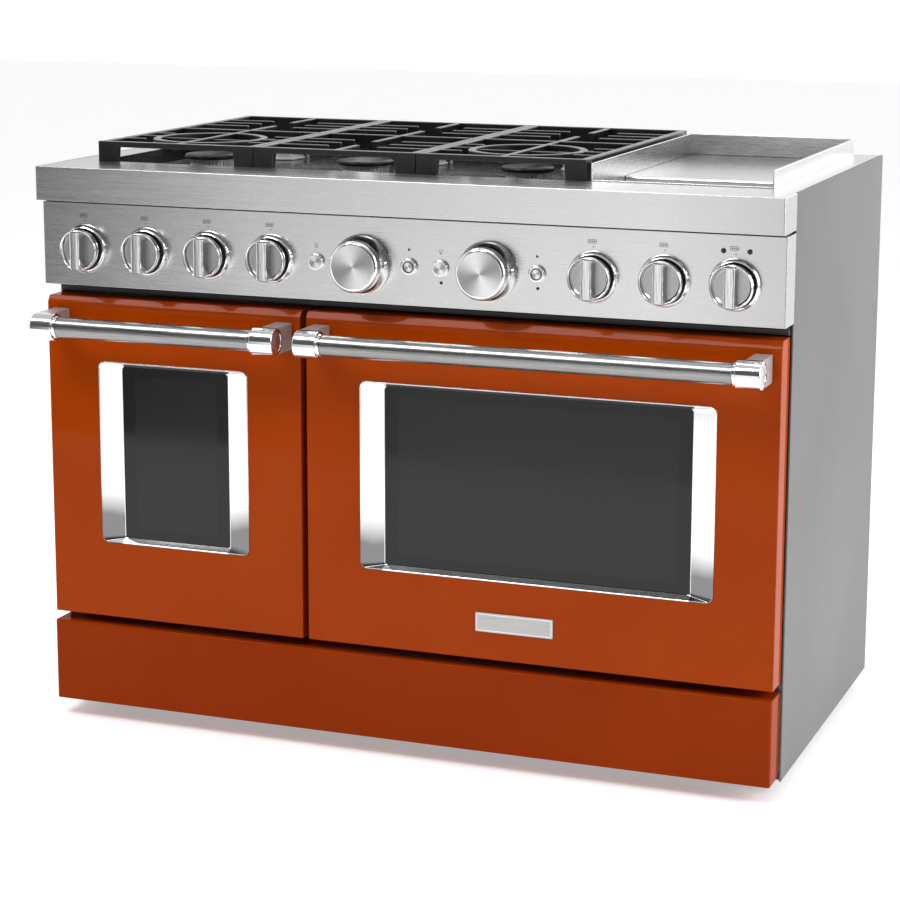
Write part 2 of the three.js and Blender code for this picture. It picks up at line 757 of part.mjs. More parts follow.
for (const oven of ovens) {
  add(range, `${oven.name}_liner`, ovenLiner(oven), enamel());
  add(range, `${oven.name}_rack`, rack(oven), chrome(), 0, 0, rackZ);
}

// The origin stands on the floor, under the middle of the range's footprint.
const frontmostY = handleY - handleCapR;
range.position.y = -(frontmostY + wallY) / 2;

export default range;
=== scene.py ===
# A wide freestanding gas range: six burners and a griddle over a small and a large oven.
import math
import bpy
import bmesh
from mathutils import Matrix, Vector


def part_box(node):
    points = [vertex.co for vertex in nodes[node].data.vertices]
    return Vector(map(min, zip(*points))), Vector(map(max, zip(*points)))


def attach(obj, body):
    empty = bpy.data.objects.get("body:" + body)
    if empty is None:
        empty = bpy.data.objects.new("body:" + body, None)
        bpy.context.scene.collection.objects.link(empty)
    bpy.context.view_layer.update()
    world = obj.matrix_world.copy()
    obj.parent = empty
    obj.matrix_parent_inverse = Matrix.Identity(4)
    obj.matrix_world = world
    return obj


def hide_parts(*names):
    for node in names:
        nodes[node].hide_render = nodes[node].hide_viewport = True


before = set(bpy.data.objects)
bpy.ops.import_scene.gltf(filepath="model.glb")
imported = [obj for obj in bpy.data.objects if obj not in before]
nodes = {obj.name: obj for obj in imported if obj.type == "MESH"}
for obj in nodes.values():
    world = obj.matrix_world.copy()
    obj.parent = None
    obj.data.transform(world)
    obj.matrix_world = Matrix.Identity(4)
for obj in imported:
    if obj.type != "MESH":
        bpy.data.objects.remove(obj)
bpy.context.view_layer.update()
mm = 0.001
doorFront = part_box("left_door_skin")[0].y  # the doors' front face; pieces are drawn from it, in millimetres
root = "range_body"
print("frame loaded,", len(nodes), "nodes")


# ---- drawing ----

def drawn(node):
    # the corners of a CAD node in millimetres, with Y measured from the doors' front face
    low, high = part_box(node)
    shift = Vector((0, doorFront, 0))
    return (low - shift) / mm, (high - shift) / mm


def midOf(node):
    low, high = drawn(node)
    return (low + high) / 2


def roundRect(x0, x1, y0, y1, r, steps=6):
    points = []
    corners = ((x1 - r, y0 + r, -90), (x1 - r, y1 - r, 0), (x0 + r, y1 - r, 90), (x0 + r, y0 + r, 180))
    for cx, cy, start in corners:
        for i in range(steps + 1):
            a = math.radians(start + 90 * i / steps)
            points.append((cx + r * math.cos(a), cy + r * math.sin(a)))
    return points


def upright(y, x0, x1, z0, z1, r, steps=6):
    # a rounded rectangle standing at Y, as 3-D points
    return [(x, y, z) for x, z in roundRect(x0, x1, z0, z1, r, steps)]


def frontPlan(x0, x1, y0, y1, r, z, steps=6):
    # a front seen from above: square at the back, rounded at its two front corners
    points = []
    for cx, cy, start in ((x0 + r, y0 + r, 180), (x1 - r, y0 + r, 270)):
        for i in range(steps + 1):
            a = math.radians(start + 90 * i / steps)
            points.append((cx + r * math.cos(a), cy + r * math.sin(a), z))
    return points + [(x1, y1, z), (x0, y1, z)]


def circle(x, z, r, steps=24):
    turn = 2 * math.pi / steps
    return [(x + r * math.cos(k * turn), z + r * math.sin(k * turn)) for k in range(steps)]


def wordsOf(text):
    # left_front becomes LeftFront
    return text.title().replace("_", "")


class Form:
    # one mesh, put together from blocks, turned parts, sheets and lofts, all in millimetres
    def __init__(self):
        self.bm = bmesh.new()

    def take(self, part, turn=None):
        if turn is not None:
            bmesh.ops.transform(part, matrix=turn, verts=part.verts)
        mesh = bpy.data.meshes.new("part")
        part.to_mesh(mesh)
        part.free()
        self.bm.from_mesh(mesh)
        bpy.data.meshes.remove(mesh)
        return self

    def block(self, x0, x1, y0, y1, z0, z1, soft=0.0, steps=2, taper=None):
        part = bmesh.new()
        bmesh.ops.create_cube(part, size=1)
        for v in part.verts:
            v.co = Vector((x0 if v.co.x < 0 else x1, y0 if v.co.y < 0 else y1, z0 if v.co.z < 0 else z1))
        if taper:
            # the lower face drawn in towards the middle, as castings leave the mould
            mid = Vector(((x0 + x1) / 2, (y0 + y1) / 2, 0))
            for v in part.verts:
                if v.co.z == z0:
                    v.co.x = mid.x + (v.co.x - mid.x) * taper[0]
                    v.co.y = mid.y + (v.co.y - mid.y) * taper[1]
        if soft:
            bmesh.ops.bevel(part, geom=part.edges[:], offset=soft, segments=steps, profile=0.5,
                            affect="EDGES", clamp_overlap=True)
        return self.take(part)

    def turned(self, profile, segments=64, facing="room", at=(0, 0, 0), radiusAt=None):
        # profile is (radius, distance along the axis); radiusAt changes the radius with the angle
        part = bmesh.new()
        rings = []
        for radius, out in profile:
            ring = []
            for i in range(segments if radius > 0 else 1):
                a = 2 * math.pi * i / segments
                r = radiusAt(radius, out, a) if radiusAt else radius
                ring.append(part.verts.new((r * math.cos(a), r * math.sin(a), out)))
            rings.append(ring)
        for low, high in zip(rings, rings[1:]):
            for i in range(segments):
                j = (i + 1) % segments
                if len(low) == 1 and len(high) == 1:
                    continue
                if len(low) == 1:
                    part.faces.new((low[0], high[j], high[i]))
                elif len(high) == 1:
                    part.faces.new((low[i], low[j], high[0]))
                else:
                    part.faces.new((low[i], low[j], high[j], high[i]))
        bmesh.ops.recalc_face_normals(part, faces=part.faces)
        quarter = math.pi / 2
        turns = {"room": Matrix.Rotation(quarter, 4, "X"), "wall": Matrix.Rotation(-quarter, 4, "X"),
                 "right": Matrix.Rotation(quarter, 4, "Y"), "left": Matrix.Rotation(-quarter, 4, "Y"),
                 "up": Matrix.Identity(4)}
        return self.take(part, Matrix.Translation(Vector(at)) @ turns[facing])

    def loft(self, loops, closed=True, capped=False):
        # loops of equal length, each a list of 3-D points
        part = bmesh.new()
        rings = [[part.verts.new(p) for p in loop] for loop in loops]
        for low, high in zip(rings, rings[1:]):
            n = len(low)
            for i in range(n if closed else n - 1):
                j = (i + 1) % n
                part.faces.new((low[i], low[j], high[j], high[i]))
        if capped:
            part.faces.new(rings[0][::-1])
            part.faces.new(rings[-1])
        bmesh.ops.recalc_face_normals(part, faces=part.faces)
        return self.take(part)

    def sheet(self, outlines, thick, lies="front", at=0.0, soft=0.0):
        # a flat shape with holes; its face points at the room ("front") or up ("top")
        curve = bpy.data.curves.new("outline", "CURVE")
        curve.dimensions = "2D"
        curve.fill_mode = "BOTH"
        curve.extrude = thick / 2 - soft
        curve.bevel_depth = soft
        curve.bevel_resolution = 2
        curve.offset = -soft
        for outline in outlines:
            spline = curve.splines.new("POLY")
            spline.points.add(len(outline) - 1)
            for point, place in zip(spline.points, outline):
                point.co = (place[0], place[1], 0, 1)
            spline.use_cyclic_u = True
        holder = bpy.data.objects.new("outline", curve)
        mesh = bpy.data.meshes.new_from_object(holder)
        part = bmesh.new()
        part.from_mesh(mesh)
        bpy.data.objects.remove(holder)
        bpy.data.curves.remove(curve)
        bpy.data.meshes.remove(mesh)
        bmesh.ops.remove_doubles(part, verts=part.verts, dist=0.0005)
        mid = at + thick / 2
        turns = {"front": Matrix.Translation((0, mid, 0)) @ Matrix.Rotation(math.pi / 2, 4, "X"),
                 "top": Matrix.Translation((0, 0, mid))}
        return self.take(part, turns[lies])

    def wire(self, points, radius, sides=10, closed=False):
        # a round wire through points
        count = len(points)
        loops = []
        for i, p in enumerate(points):
            a = Vector(points[i - 1] if closed or i else points[0])
            b = Vector(points[(i + 1) % count] if closed or i < count - 1 else points[-1])
            along = (b - a).normalized()
            side = along.cross(Vector((0, 0, 1)))
            if side.length < 0.05:
                side = along.cross(Vector((1, 0, 0)))
            side.normalize()
            up = side.cross(along)
            loops.append([Vector(p) + radius * (side * math.cos(t) + up * math.sin(t))
                          for t in (2 * math.pi * k / sides for k in range(sides))])
        if closed:
            loops.append(loops[0])
        return self.loft(loops, capped=not closed)

    def piece(self, name, finish, body, stands=(), at=(0, 0, 0), slot=None, crease=35, cutter=None):
        # turns the form into a piece of the range that rides on a body
        bmesh.ops.scale(self.bm, vec=(mm, mm, mm), verts=self.bm.verts)
        mesh = bpy.data.meshes.new(name)
        self.bm.to_mesh(mesh)
        self.bm.free()
        mesh.shade_smooth()
        mesh.set_sharp_from_angle(angle=math.radians(crease))
        mesh.materials.append(finish)
        made = bpy.data.objects.new(name, mesh)
        bpy.context.scene.collection.objects.link(made)
        if cutter is not None:
            hollow(made, cutter, crease)
        made.location = Vector(at) * mm + Vector((0, doorFront, 0))
        made.modifiers.new("evenShading", "WEIGHTED_NORMAL").keep_sharp = True
        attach(made, body)
        if stands:
            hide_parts(*stands)
        return made


def hollow(made, cutter, crease):
    # takes the cutter form out of a mesh
    bmesh.ops.scale(cutter.bm, vec=(mm, mm, mm), verts=cutter.bm.verts)
    mesh = bpy.data.meshes.new("cutter")
    cutter.bm.to_mesh(mesh)
    cutter.bm.free()
    tool = bpy.data.objects.new("cutter", mesh)
    bpy.context.scene.collection.objects.link(tool)
    cut = made.modifiers.new("cut", "BOOLEAN")
    cut.object = tool
    cut.operation = "DIFFERENCE"
    cut.solver = "EXACT"
    bpy.context.view_layer.update()
    done = bpy.data.meshes.new_from_object(made.evaluated_get(bpy.context.evaluated_depsgraph_get()))
    old = made.data
    made.modifiers.clear()
    done.name = made.name
    made.data = done
    done.shade_smooth()
    done.set_sharp_from_angle(angle=math.radians(crease))
    bpy.data.meshes.remove(old)
    bpy.data.objects.remove(tool)
    bpy.data.meshes.remove(mesh)


# ---- finishes ----

class Wire:
    # a shader socket that takes part in plain expressions
    def __init__(self, tree, out):
        self.tree, self.out = tree, out

    def maths(self, operation, first, second):
        node = self.tree.nodes.new("ShaderNodeMath")
        node.operation = operation
        for socket, value in zip(node.inputs, (first, second)):
            if isinstance(value, Wire):
                self.tree.links.new(value.out, socket)
            else:
                socket.default_value = value
        return Wire(self.tree, node.outputs[0])

    def __add__(self, other): return self.maths("ADD", self, other)
    def __radd__(self, other): return self.maths("ADD", other, self)
    def __sub__(self, other): return self.maths("SUBTRACT", self, other)
    def __rsub__(self, other): return self.maths("SUBTRACT", other, self)
    def __mul__(self, other): return self.maths("MULTIPLY", self, other)
    def __rmul__(self, other): return self.maths("MULTIPLY", other, self)
    def __truediv__(self, other): return self.maths("DIVIDE", self, other)
    def __rtruediv__(self, other): return self.maths("DIVIDE", other, self)
    def __pow__(self, other): return self.maths("POWER", self, other)
    def __gt__(self, other): return self.maths("GREATER_THAN", self, other)
    def __lt__(self, other): return self.maths("LESS_THAN", self, other)


class Finish:
    # a material with one Principled shader; extra nodes come from node()
    def __init__(self, name, **steady):
        self.material = bpy.data.materials.new(name)
        self.material.use_nodes = True
        self.tree = self.material.node_tree
        self.shader = self.tree.nodes["Principled BSDF"]
        for socket, value in steady.items():
            self.shader.inputs[socket.replace("_", " ")].default_value = value

    def node(self, kind, settings=None, inputs=None, out=0):
        made = self.tree.nodes.new("ShaderNode" + kind)
        for key, value in (settings or {}).items():
            setattr(made, key, value)
        for key, value in (inputs or {}).items():
            if isinstance(value, Wire):
                self.tree.links.new(value.out, made.inputs[key])
            else:
                made.inputs[key].default_value = value
        return Wire(self.tree, made.outputs[out])

    def place(self):
        return self.node("TexCoord", out=3)

    def axes(self):
        split = self.node("SeparateXYZ", inputs={0: self.place()})
        return [Wire(self.tree, split.out.node.outputs[i]) for i in range(3)]

    def stretched(self, scale):
        return self.node("VectorMath", {"operation": "MULTIPLY"}, {0: self.place(), 1: scale})

    def noise(self, scale, detail=3.0, stretch=(1, 1, 1), rough=0.5):
        inputs = {"Vector": self.stretched(stretch), "Scale": scale, "Detail": detail, "Roughness": rough}
        return self.node("TexNoise", None, inputs)

    def spread(self, value, low, high, outLow=0.0, outHigh=1.0):
        return self.node("MapRange", None, {0: value, 1: low, 2: high, 3: outLow, 4: outHigh})

    def blend(self, mask, first, second):
        mixer = self.tree.nodes.new("ShaderNodeMix")
        mixer.data_type = "RGBA"
        for socket, value in ((0, mask), (6, first), (7, second)):
            if isinstance(value, Wire):
                self.tree.links.new(value.out, mixer.inputs[socket])
            else:
                mixer.inputs[socket].default_value = value
        return Wire(self.tree, mixer.outputs[2])

    def feed(self, **sockets):
        for socket, value in sockets.items():
            self.tree.links.new(value.out, self.shader.inputs[socket.replace("_", " ")])
        return self

    def bump(self, height, depth):
        normal = self.node("Bump", None, {"Height": height, "Distance": depth * mm, "Strength": 1.0})
        return self.feed(Normal=normal)


def tone(r, g, b):
    # a screen colour, 0 to 255, as the shader wants it
    def linear(c):
        return c / 255 / 12.92 if c < 11 else ((c / 255 + 0.055) / 1.055) ** 2.4
    return linear(r), linear(g), linear(b), 1


def grey(level):
    return tone(level, level, level)


def paintFinish(name, look):
    # gloss paint over pressed steel: a little flow in the colour, orange peel under the clear coat
    f = Finish(name, Coat_Weight=look["coat"], Coat_Roughness=look["coatRoughness"], Coat_IOR=1.2,
               Specular_IOR_Level=look["shine"])
    flow = f.noise(look["flowScale"], 4)
    peel = f.noise(look["peelScale"], 2)
    fleck = f.noise(look["peelScale"] * 6, 2)
    f.feed(Base_Color=f.blend(f.spread(flow, 0.3, 0.7), look["deep"], look["light"]),
           Roughness=f.spread(fleck, 0.3, 0.7, look["roughness"] - 0.04, look["roughness"] + 0.05))
    f.bump(peel + fleck * 0.3, look["peelDepth"])
    return f.material


def brushedFinish(name, look, along="x"):
    # brushed steel: long fine streaks along one axis, with a slower drift in tone
    f = Finish(name, Metallic=look.get("metal", 1.0))
    k = look["stretch"]
    stretch = {"x": (1 / k, 1, 1), "y": (1, 1 / k, 1), "z": (1, 1, 1 / k),
               "level": (1 / k, 1 / k, 1)}[along]
    fine = f.noise(look["scale"], 3, stretch, 0.7)
    wide = f.noise(look["scale"] / 9, 2, stretch)
    drift = f.noise(6, 2)
    streak = fine * 0.75 + wide * 0.25
    base = f.blend(f.spread(streak + drift * 0.1, 0.4, 0.75), look["deep"], look["light"])
    if look.get("paintedReflectionSweep"):
        # painted reflection: long pressed fronts go darker at the left and a little at the right end, in
        # place of the studio's reflected light
        x, y, z = f.axes()
        paintedShadeLeft = f.spread(x, -0.62, -0.24, 0.5, 0.0)
        paintedShadeRight = f.spread(x, 0.42, 0.62, 0.0, 0.2)
        base = f.blend(paintedShadeLeft + paintedShadeRight, base, tone(40, 40, 41))
    f.feed(Base_Color=base,
           Roughness=f.spread(streak, 0.35, 0.65, look["roughness"] - 0.07, look["roughness"] + 0.07))
    f.bump(fine, look["depth"])
    return f.material


def chromeFinish(name, look):
    # plated metal: nearly clean, with faint polishing haze
    f = Finish(name, Metallic=1.0)
    haze = f.noise(14, 3)
    scuff = f.noise(160, 2, (1, 1, 0.15))
    f.feed(Base_Color=f.blend(f.spread(haze, 0.3, 0.7), look["deep"], look["light"]),
           Roughness=f.spread(haze + scuff * 0.5, 0.55, 0.95, look["roughness"], look["roughness"] + 0.05))
    f.bump(scuff, 0.004)
    return f.material


def spunFinish(name, look):
    # a turned face: painted highlights, light and dark wedges round the middle in place of the spun metal's
    # reflection, over fine rings from the tool
    f = Finish(name, Metallic=1.0)
    x, y, z = f.axes()
    angle = x.maths("ARCTAN2", x, z)
    radius = (x * x + z * z) ** 0.5
    paintedHighlightSectors = angle.maths("COSINE", angle * look["paintedHighlightSectors"] + look["turn"], 0)
    rings = f.node("TexNoise", {"noise_dimensions": "1D"},
                   {"W": radius, "Scale": look["rings"], "Detail": 3})
    lit = f.spread(paintedHighlightSectors * 0.5 + rings * 0.5, -0.3, 0.8)
    f.feed(Base_Color=f.blend(lit, look["deep"], look["light"]),
           Roughness=f.spread(rings, 0.3, 0.7, look["roughness"] - 0.06, look["roughness"] + 0.06))
    f.bump(rings, 0.012)
    return f.material


def castFinish(name, look):
    # coated cast iron: a fine sandy skin with worn, slightly greyer high spots
    f = Finish(name, Specular_IOR_Level=0.3, Coat_Weight=0.5, Coat_IOR=1.25, Coat_Roughness=0.25)
    grain = f.noise(look["grain"], 4, rough=0.65)
    blotch = f.noise(22, 3)
    f.feed(Base_Color=f.blend(f.spread(grain * 0.6 + blotch * 0.4, 0.35, 0.7), look["deep"], look["light"]),
           Roughness=f.spread(blotch, 0.3, 0.7, look["roughness"] - 0.08, look["roughness"] + 0.08))
    f.bump(grain, look["depth"])
    return f.material


def enamelFinish(name, look):
    # porcelain enamel: dark glass with pale specks fired into it
    f = Finish(name, Coat_Weight=0.25, Coat_Roughness=0.08)
    specks = f.node("TexVoronoi", None, {"Vector": f.place(), "Scale": look["speckScale"]})
    f.feed(Base_Color=f.blend(specks < look["speckSize"], look["ground"], look["speck"]),
           Roughness=f.spread(f.noise(30), 0.3, 0.7, 0.18, 0.3))
    f.bump(f.noise(90, 2), 0.02)
    return f.material


def zincFinish(name):
    # galvanised sheet: flat crystals, each a little lighter or darker
    f = Finish(name, Metallic=0.85)
    cells = f.node("TexVoronoi", None, {"Vector": f.place(), "Scale": 120.0}, out=1)
    shade = f.node("RGBToBW", None, {0: cells})
    f.feed(Base_Color=f.blend(shade * 0.7 + f.noise(9) * 0.3, tone(126, 129, 132), tone(176, 179, 182)),
           Roughness=f.spread(shade, 0, 1, 0.36, 0.52))
    f.bump(shade, 0.01)
    return f.material


looks = {
    "orange": {"deep": tone(150, 54, 0), "light": tone(160, 59, 1), "roughness": 0.4, "coat": 0.7,
               "shine": 0.0, "coatRoughness": 0.05, "flowScale": 4.0, "peelScale": 160.0,
               "peelDepth": 0.012},
    # painted shade: a darker copy of the orange paint for the kick panel, where the light falls off near the
    # floor
    "orangeShadedCopy": {"deep": tone(134, 44, 0), "light": tone(143, 49, 1), "roughness": 0.42, "coat": 0.5,
                  "shine": 0.0, "coatRoughness": 0.06, "flowScale": 4.0, "peelScale": 160.0,
                  "peelDepth": 0.012},
    "grey": {"deep": tone(110, 110, 111), "light": grey(118), "roughness": 0.5, "coat": 0.05, "shine": 0.12,
             "coatRoughness": 0.3, "flowScale": 3.0, "peelScale": 420.0, "peelDepth": 0.02},
    # the steel look paints a reflection gradient into its colour, darker at the left and right ends
    "steel": {"deep": grey(216), "light": tone(230, 230, 229), "roughness": 0.26, "paintedReflectionSweep": True,
              "scale": 1500.0, "stretch": 90.0, "depth": 0.0015},
    "bar": {"deep": tone(132, 132, 131), "light": tone(170, 170, 169), "roughness": 0.26, "scale": 900.0,
            "stretch": 50.0, "depth": 0.004},
    "arm": {"deep": tone(168, 168, 167), "light": tone(196, 196, 195), "roughness": 0.34, "metal": 0.45,
            "scale": 800.0, "stretch": 30.0, "depth": 0.004},
    "plate": {"deep": tone(208, 208, 207), "light": tone(226, 226, 225), "roughness": 0.22, "scale": 1500.0,
              "stretch": 60.0, "depth": 0.0015},
    "wall": {"deep": tone(208, 208, 207), "light": tone(228, 228, 227), "roughness": 0.24, "scale": 1500.0,
             "stretch": 60.0, "depth": 0.0015},
    "chrome": {"deep": tone(222, 223, 225), "light": tone(244, 244, 245), "roughness": 0.05},
    "iron": {"deep": tone(16, 16, 17), "light": tone(34, 34, 35), "roughness": 0.32, "grain": 420.0,
             "depth": 0.14},
    "cap": {"deep": tone(14, 14, 15), "light": tone(34, 34, 35), "roughness": 0.36, "grain": 520.0,
            "depth": 0.05},
    # the spun look's wedge count and turn set painted highlights round the middle
    "spun": {"deep": grey(150), "light": grey(246), "roughness": 0.24, "paintedHighlightSectors": 2.0,
             "turn": 0.9, "rings": 2600.0},
    "tray": {"ground": tone(9, 9, 10), "speck": tone(34, 34, 36), "speckScale": 700.0, "speckSize": 0.12},
    "oven": {"ground": tone(26, 30, 38), "speck": tone(150, 155, 165), "speckScale": 420.0,
             "speckSize": 0.16},
}
orange = paintFinish("orangePaint", looks["orange"])
# the kick panel's paint is the door paint made darker, as painted shade
orangeShadedCopy = paintFinish("orangePaintShadedCopy", looks["orangeShadedCopy"])
sideGrey = paintFinish("greyPaint", looks["grey"])
steel = brushedFinish("brushedSteel", looks["steel"], "x")
steelUp = brushedFinish("brushedSteelUpright", looks["steel"], "z")
barSteel = brushedFinish("handleSteel", looks["bar"], "x")
armSteel = brushedFinish("armSteel", looks["arm"], "y")
chrome = chromeFinish("chromePlate", looks["chrome"])
iron = castFinish("castIron", looks["iron"])
capIron = castFinish("capIron", looks["cap"])
spun = spunFinish("spunSteel", looks["spun"])
trayEnamel = enamelFinish("trayEnamel", looks["tray"])
ovenEnamel = enamelFinish("ovenEnamel", looks["oven"])
zinc = zincFinish("zincSheet")


def darkFinish(name, colour, roughness):
    # moulded black plastic, rubber or a shaded gap
    f = Finish(name)
    f.feed(Base_Color=f.blend(f.noise(60), colour, tuple(c * 1.5 for c in colour[:3]) + (1,)),
           Roughness=f.spread(f.noise(200), 0.3, 0.7, roughness - 0.05, roughness + 0.05))
    f.bump(f.noise(700, 2), 0.01)
    return f.material


# one black for real plastic, rubber and print, and for painted shade in gaps and recesses
black = darkFinish("blackPlasticAndPaintedShade", tone(18, 18, 19), 0.4)
ventGrey = darkFinish("ventGrey", tone(52, 52, 53), 0.35)
gasketWeave = darkFinish("gasketWeave", tone(64, 62, 58), 0.8)


def burnerFinish():
    # cast and brushed burner rings, darker and a little warmer towards the bottom
    f = Finish("burnerRing", Metallic=0.2)
    x, y, z = f.axes()
    darkerTowardsFoot = f.spread(z + f.noise(80) * 0.006, 0.004, 0.02)
    f.feed(Base_Color=f.blend(darkerTowardsFoot, tone(205, 203, 198), tone(238, 237, 234)),
           Roughness=f.spread(f.noise(300), 0.3, 0.7, 0.26, 0.42))
    f.bump(f.noise(500, 3), 0.03)
    return f.material


burnerMetal = burnerFinish()
print("finishes made")


# ---- camera, lights and floor ----

# angles in degrees, lens in mm, place in metres
view = {"lens": 98.60, "shiftY": -0.0611, "location": (1.4124, -3.7292, 1.3062),
        "yaw": 21.058, "pitch": 11.017, "roll": -0.112}
camera = bpy.data.objects.new("camera", bpy.data.cameras.new("camera"))
bpy.context.scene.collection.objects.link(camera)
camera.data.lens = view["lens"]
camera.data.shift_y = view["shiftY"]
camera.location = view["location"]
camera.rotation_euler = [math.radians(a) for a in (90 - view["pitch"], view["roll"], view["yaw"])]
bpy.context.scene.camera = camera
bpy.context.scene.view_settings.view_transform = "Standard"

studio = {
    "backdrop": 1.1, "around": 1.0, "above": 0.62, "ahead": 0.1, "poolDim": 0.16, "poolBright": 1.1,
    "behindRight": 2.0,
    "floorFront": -2.3, "floorBack": 16.0, "floorSide": 16.0, "floorGlow": 0.3,
    "panels": [
        ("key", (-1.35, -2.3, 3.6), (-0.1, -0.25, 0.6), 2.6, 0.9, 82),
        ("right", (3.4, -0.4, 1.7), (0, -0.2, 0.6), 1.2, 2.2, 70),
        ("overhead", (0.1, 0.3, 3.2), (0, 0.2, 0.8), 2.4, 1.4, 14),
    ],
}


def studioLight(name, place, target, width, height, power):
    lamp = bpy.data.lights.new(name, "AREA")
    lamp.shape = "RECTANGLE"
    lamp.size, lamp.size_y, lamp.energy = width, height, power
    held = bpy.data.objects.new(name, lamp)
    held.location = place
    held.rotation_euler = (Vector(target) - Vector(place)).to_track_quat("-Z", "Y").to_euler()
    bpy.context.scene.collection.objects.link(held)


for panel in studio["panels"]:
    studioLight(*panel)


def studioSky():
    # a white backdrop; metal sees a dim room ahead, and a floor there that brightens towards the right
    world = bpy.data.worlds.new("studio")
    world.use_nodes = True
    bpy.context.scene.world = world
    tree = world.node_tree
    back = tree.nodes["Background"]
    place = tree.nodes.new("ShaderNodeTexCoord")
    split = tree.nodes.new("ShaderNodeSeparateXYZ")
    tree.links.new(place.outputs["Generated"], split.inputs[0])
    x, y, z = (Wire(tree, split.outputs[i]) for i in range(3))
    seen = Wire(tree, tree.nodes.new("ShaderNodeLightPath").outputs["Is Camera Ray"])

    def clamped(value):
        return value.maths("MINIMUM", value.maths("MAXIMUM", value, 0.0), 1.0)

    def between(mask, first, second):
        return mask * second + (1 - mask) * first
    lit = clamped((x + 0.53) * 5.5) * clamped((0.34 - x) * 6.0) + clamped((x * -1 - 0.66) * 6.0)
    pool = between(lit, studio["poolDim"], studio["poolBright"])
    room = between(clamped((z - 0.5) * 3.0), studio["ahead"], studio["above"])
    room = between(clamped((x * -1 - 0.6) * 5.0), room, studio["around"])
    front = between(clamped((0.1 - z) * 14.0), room, pool)
    around = between(clamped((z - 0.45) * 3.0), studio["around"], studio["above"])
    around = between(clamped((y - 0.6) * 5.0) * clamped(x * 8.0), around, studio["behindRight"])
    level = between(clamped((y * -1 - 0.12) * 3.0), around, front)
    tree.links.new(between(seen, level, studio["backdrop"]).out, back.inputs["Strength"])
    back.inputs["Color"].default_value = (1, 1, 1, 1)


studioSky()


def studioFloor():
    glow = studio["floorGlow"]
    f = Finish("paleFloor", Roughness=0.7, Specular_IOR_Level=0.1, Emission_Color=(1, 1, 1, 1),
               Emission_Strength=glow)
    f.feed(Base_Color=f.blend(f.noise(3), grey(246), grey(250)))
    mesh = bpy.data.meshes.new("floor")
    bm = bmesh.new()
    bmesh.ops.create_grid(bm, x_segments=8, y_segments=8, size=1)
    for v in bm.verts:
        v.co.x *= studio["floorSide"]
        v.co.y = studio["floorFront"] + (v.co.y + 1) / 2 * (studio["floorBack"] - studio["floorFront"])
    bm.to_mesh(mesh)
    bm.free()
    mesh.materials.append(f.material)
    floor = bpy.data.objects.new("floor", mesh)
    bpy.context.scene.collection.objects.link(floor)


studioFloor()
print("camera, lights and floor set")


# ---- doors ----

door = {"slopeDeep": 7.0, "slopeTall": 11.0, "sideEdge": 1.2, "lowEdge": 1.6, "sheet": 1.4, "corner": 1.0,
        "window": 11.0, "glassCorner": 5.0, "lip": 2.6, "bar": 16.5, "cap": 21.7, "capLong": 43.0,
        "arm": 27.0, "collar": 5.0}


def doorSkin(side):
    # pressed sheet: eased sides, a slope along the top, folded back round the door's thickness
    low, high = drawn(side + "_door_skin")
    inside, outside = drawn(side + "_door_window_trim")
    deep, tall, e, under = door["slopeDeep"], door["slopeTall"], door["sideEdge"], door["lowEdge"]
    thick, r = door["sheet"], door["window"] + 0.2

    def outline(y, sides, bottom, top):
        return upright(y, low.x + sides, high.x - sides, low.z + bottom, high.z - top, door["corner"], 4)
    loops = [outline(0, e, under, tall + 0.8), outline(0.1, e * 0.6, under * 0.6, tall + 0.3),
             outline(0.4, e * 0.25, under * 0.25, tall - 0.4), outline(e, 0, 0, tall * (1 - e / deep)),
             outline(deep - 0.5, 0, 0, 0.75), outline(deep + 0.6, 0, 0, 0), outline(high.y, 0, 0, 0),
             outline(high.y, thick, thick, thick), outline(deep + 1, thick, thick, thick)]
    skin = Form().loft(loops, capped=True)
    around = roundRect(inside.x - 0.2, outside.x + 0.2, inside.z - 0.2, outside.z + 0.2, r, 10)
    hole = Form().sheet([around], 30, "front", -10)
    skin.piece(side + "DoorSkin", orange, side + "_door", [side + "_door_skin"], slot="orange_paint",
               crease=50, cutter=hole)


def windowTrim(side):
    low, high = drawn(side + "_door_window_trim")
    glassLow, glassHigh = drawn(side + "_door_glass")
    gx0, gx1, gz0, gz1 = glassLow.x + 8, glassHigh.x - 8, glassLow.z + 5, glassHigh.z - 5
    r, lip = door["window"], door["lip"]

    def ring(inset, y, radius):
        return upright(y, low.x + inset, high.x - inset, low.z + inset, high.z - inset, radius, 8)
    foot = upright(9.0, gx0, gx1, gz0, gz1, door["glassCorner"], 8)
    sill = upright(10.3, gx0, gx1, gz0, gz1, door["glassCorner"], 8)
    rim = [ring(0, 10.3, r), ring(0, -0.2, r), ring(0.35, -0.85, r - 0.3), ring(0.9, -1.2, r - 0.8),
           ring(lip - 0.6, -1.2, r - lip + 0.6), ring(lip, -0.8, r - lip)]
    trim = Form().loft(rim + [foot, sill, ring(0, 10.3, r)])
    trim.piece(side + "WindowTrim", flankChrome(side, gx0, gx1, gz0, gz1), side + "_door",
               [side + "_door_window_trim"], slot="chrome", crease=20)


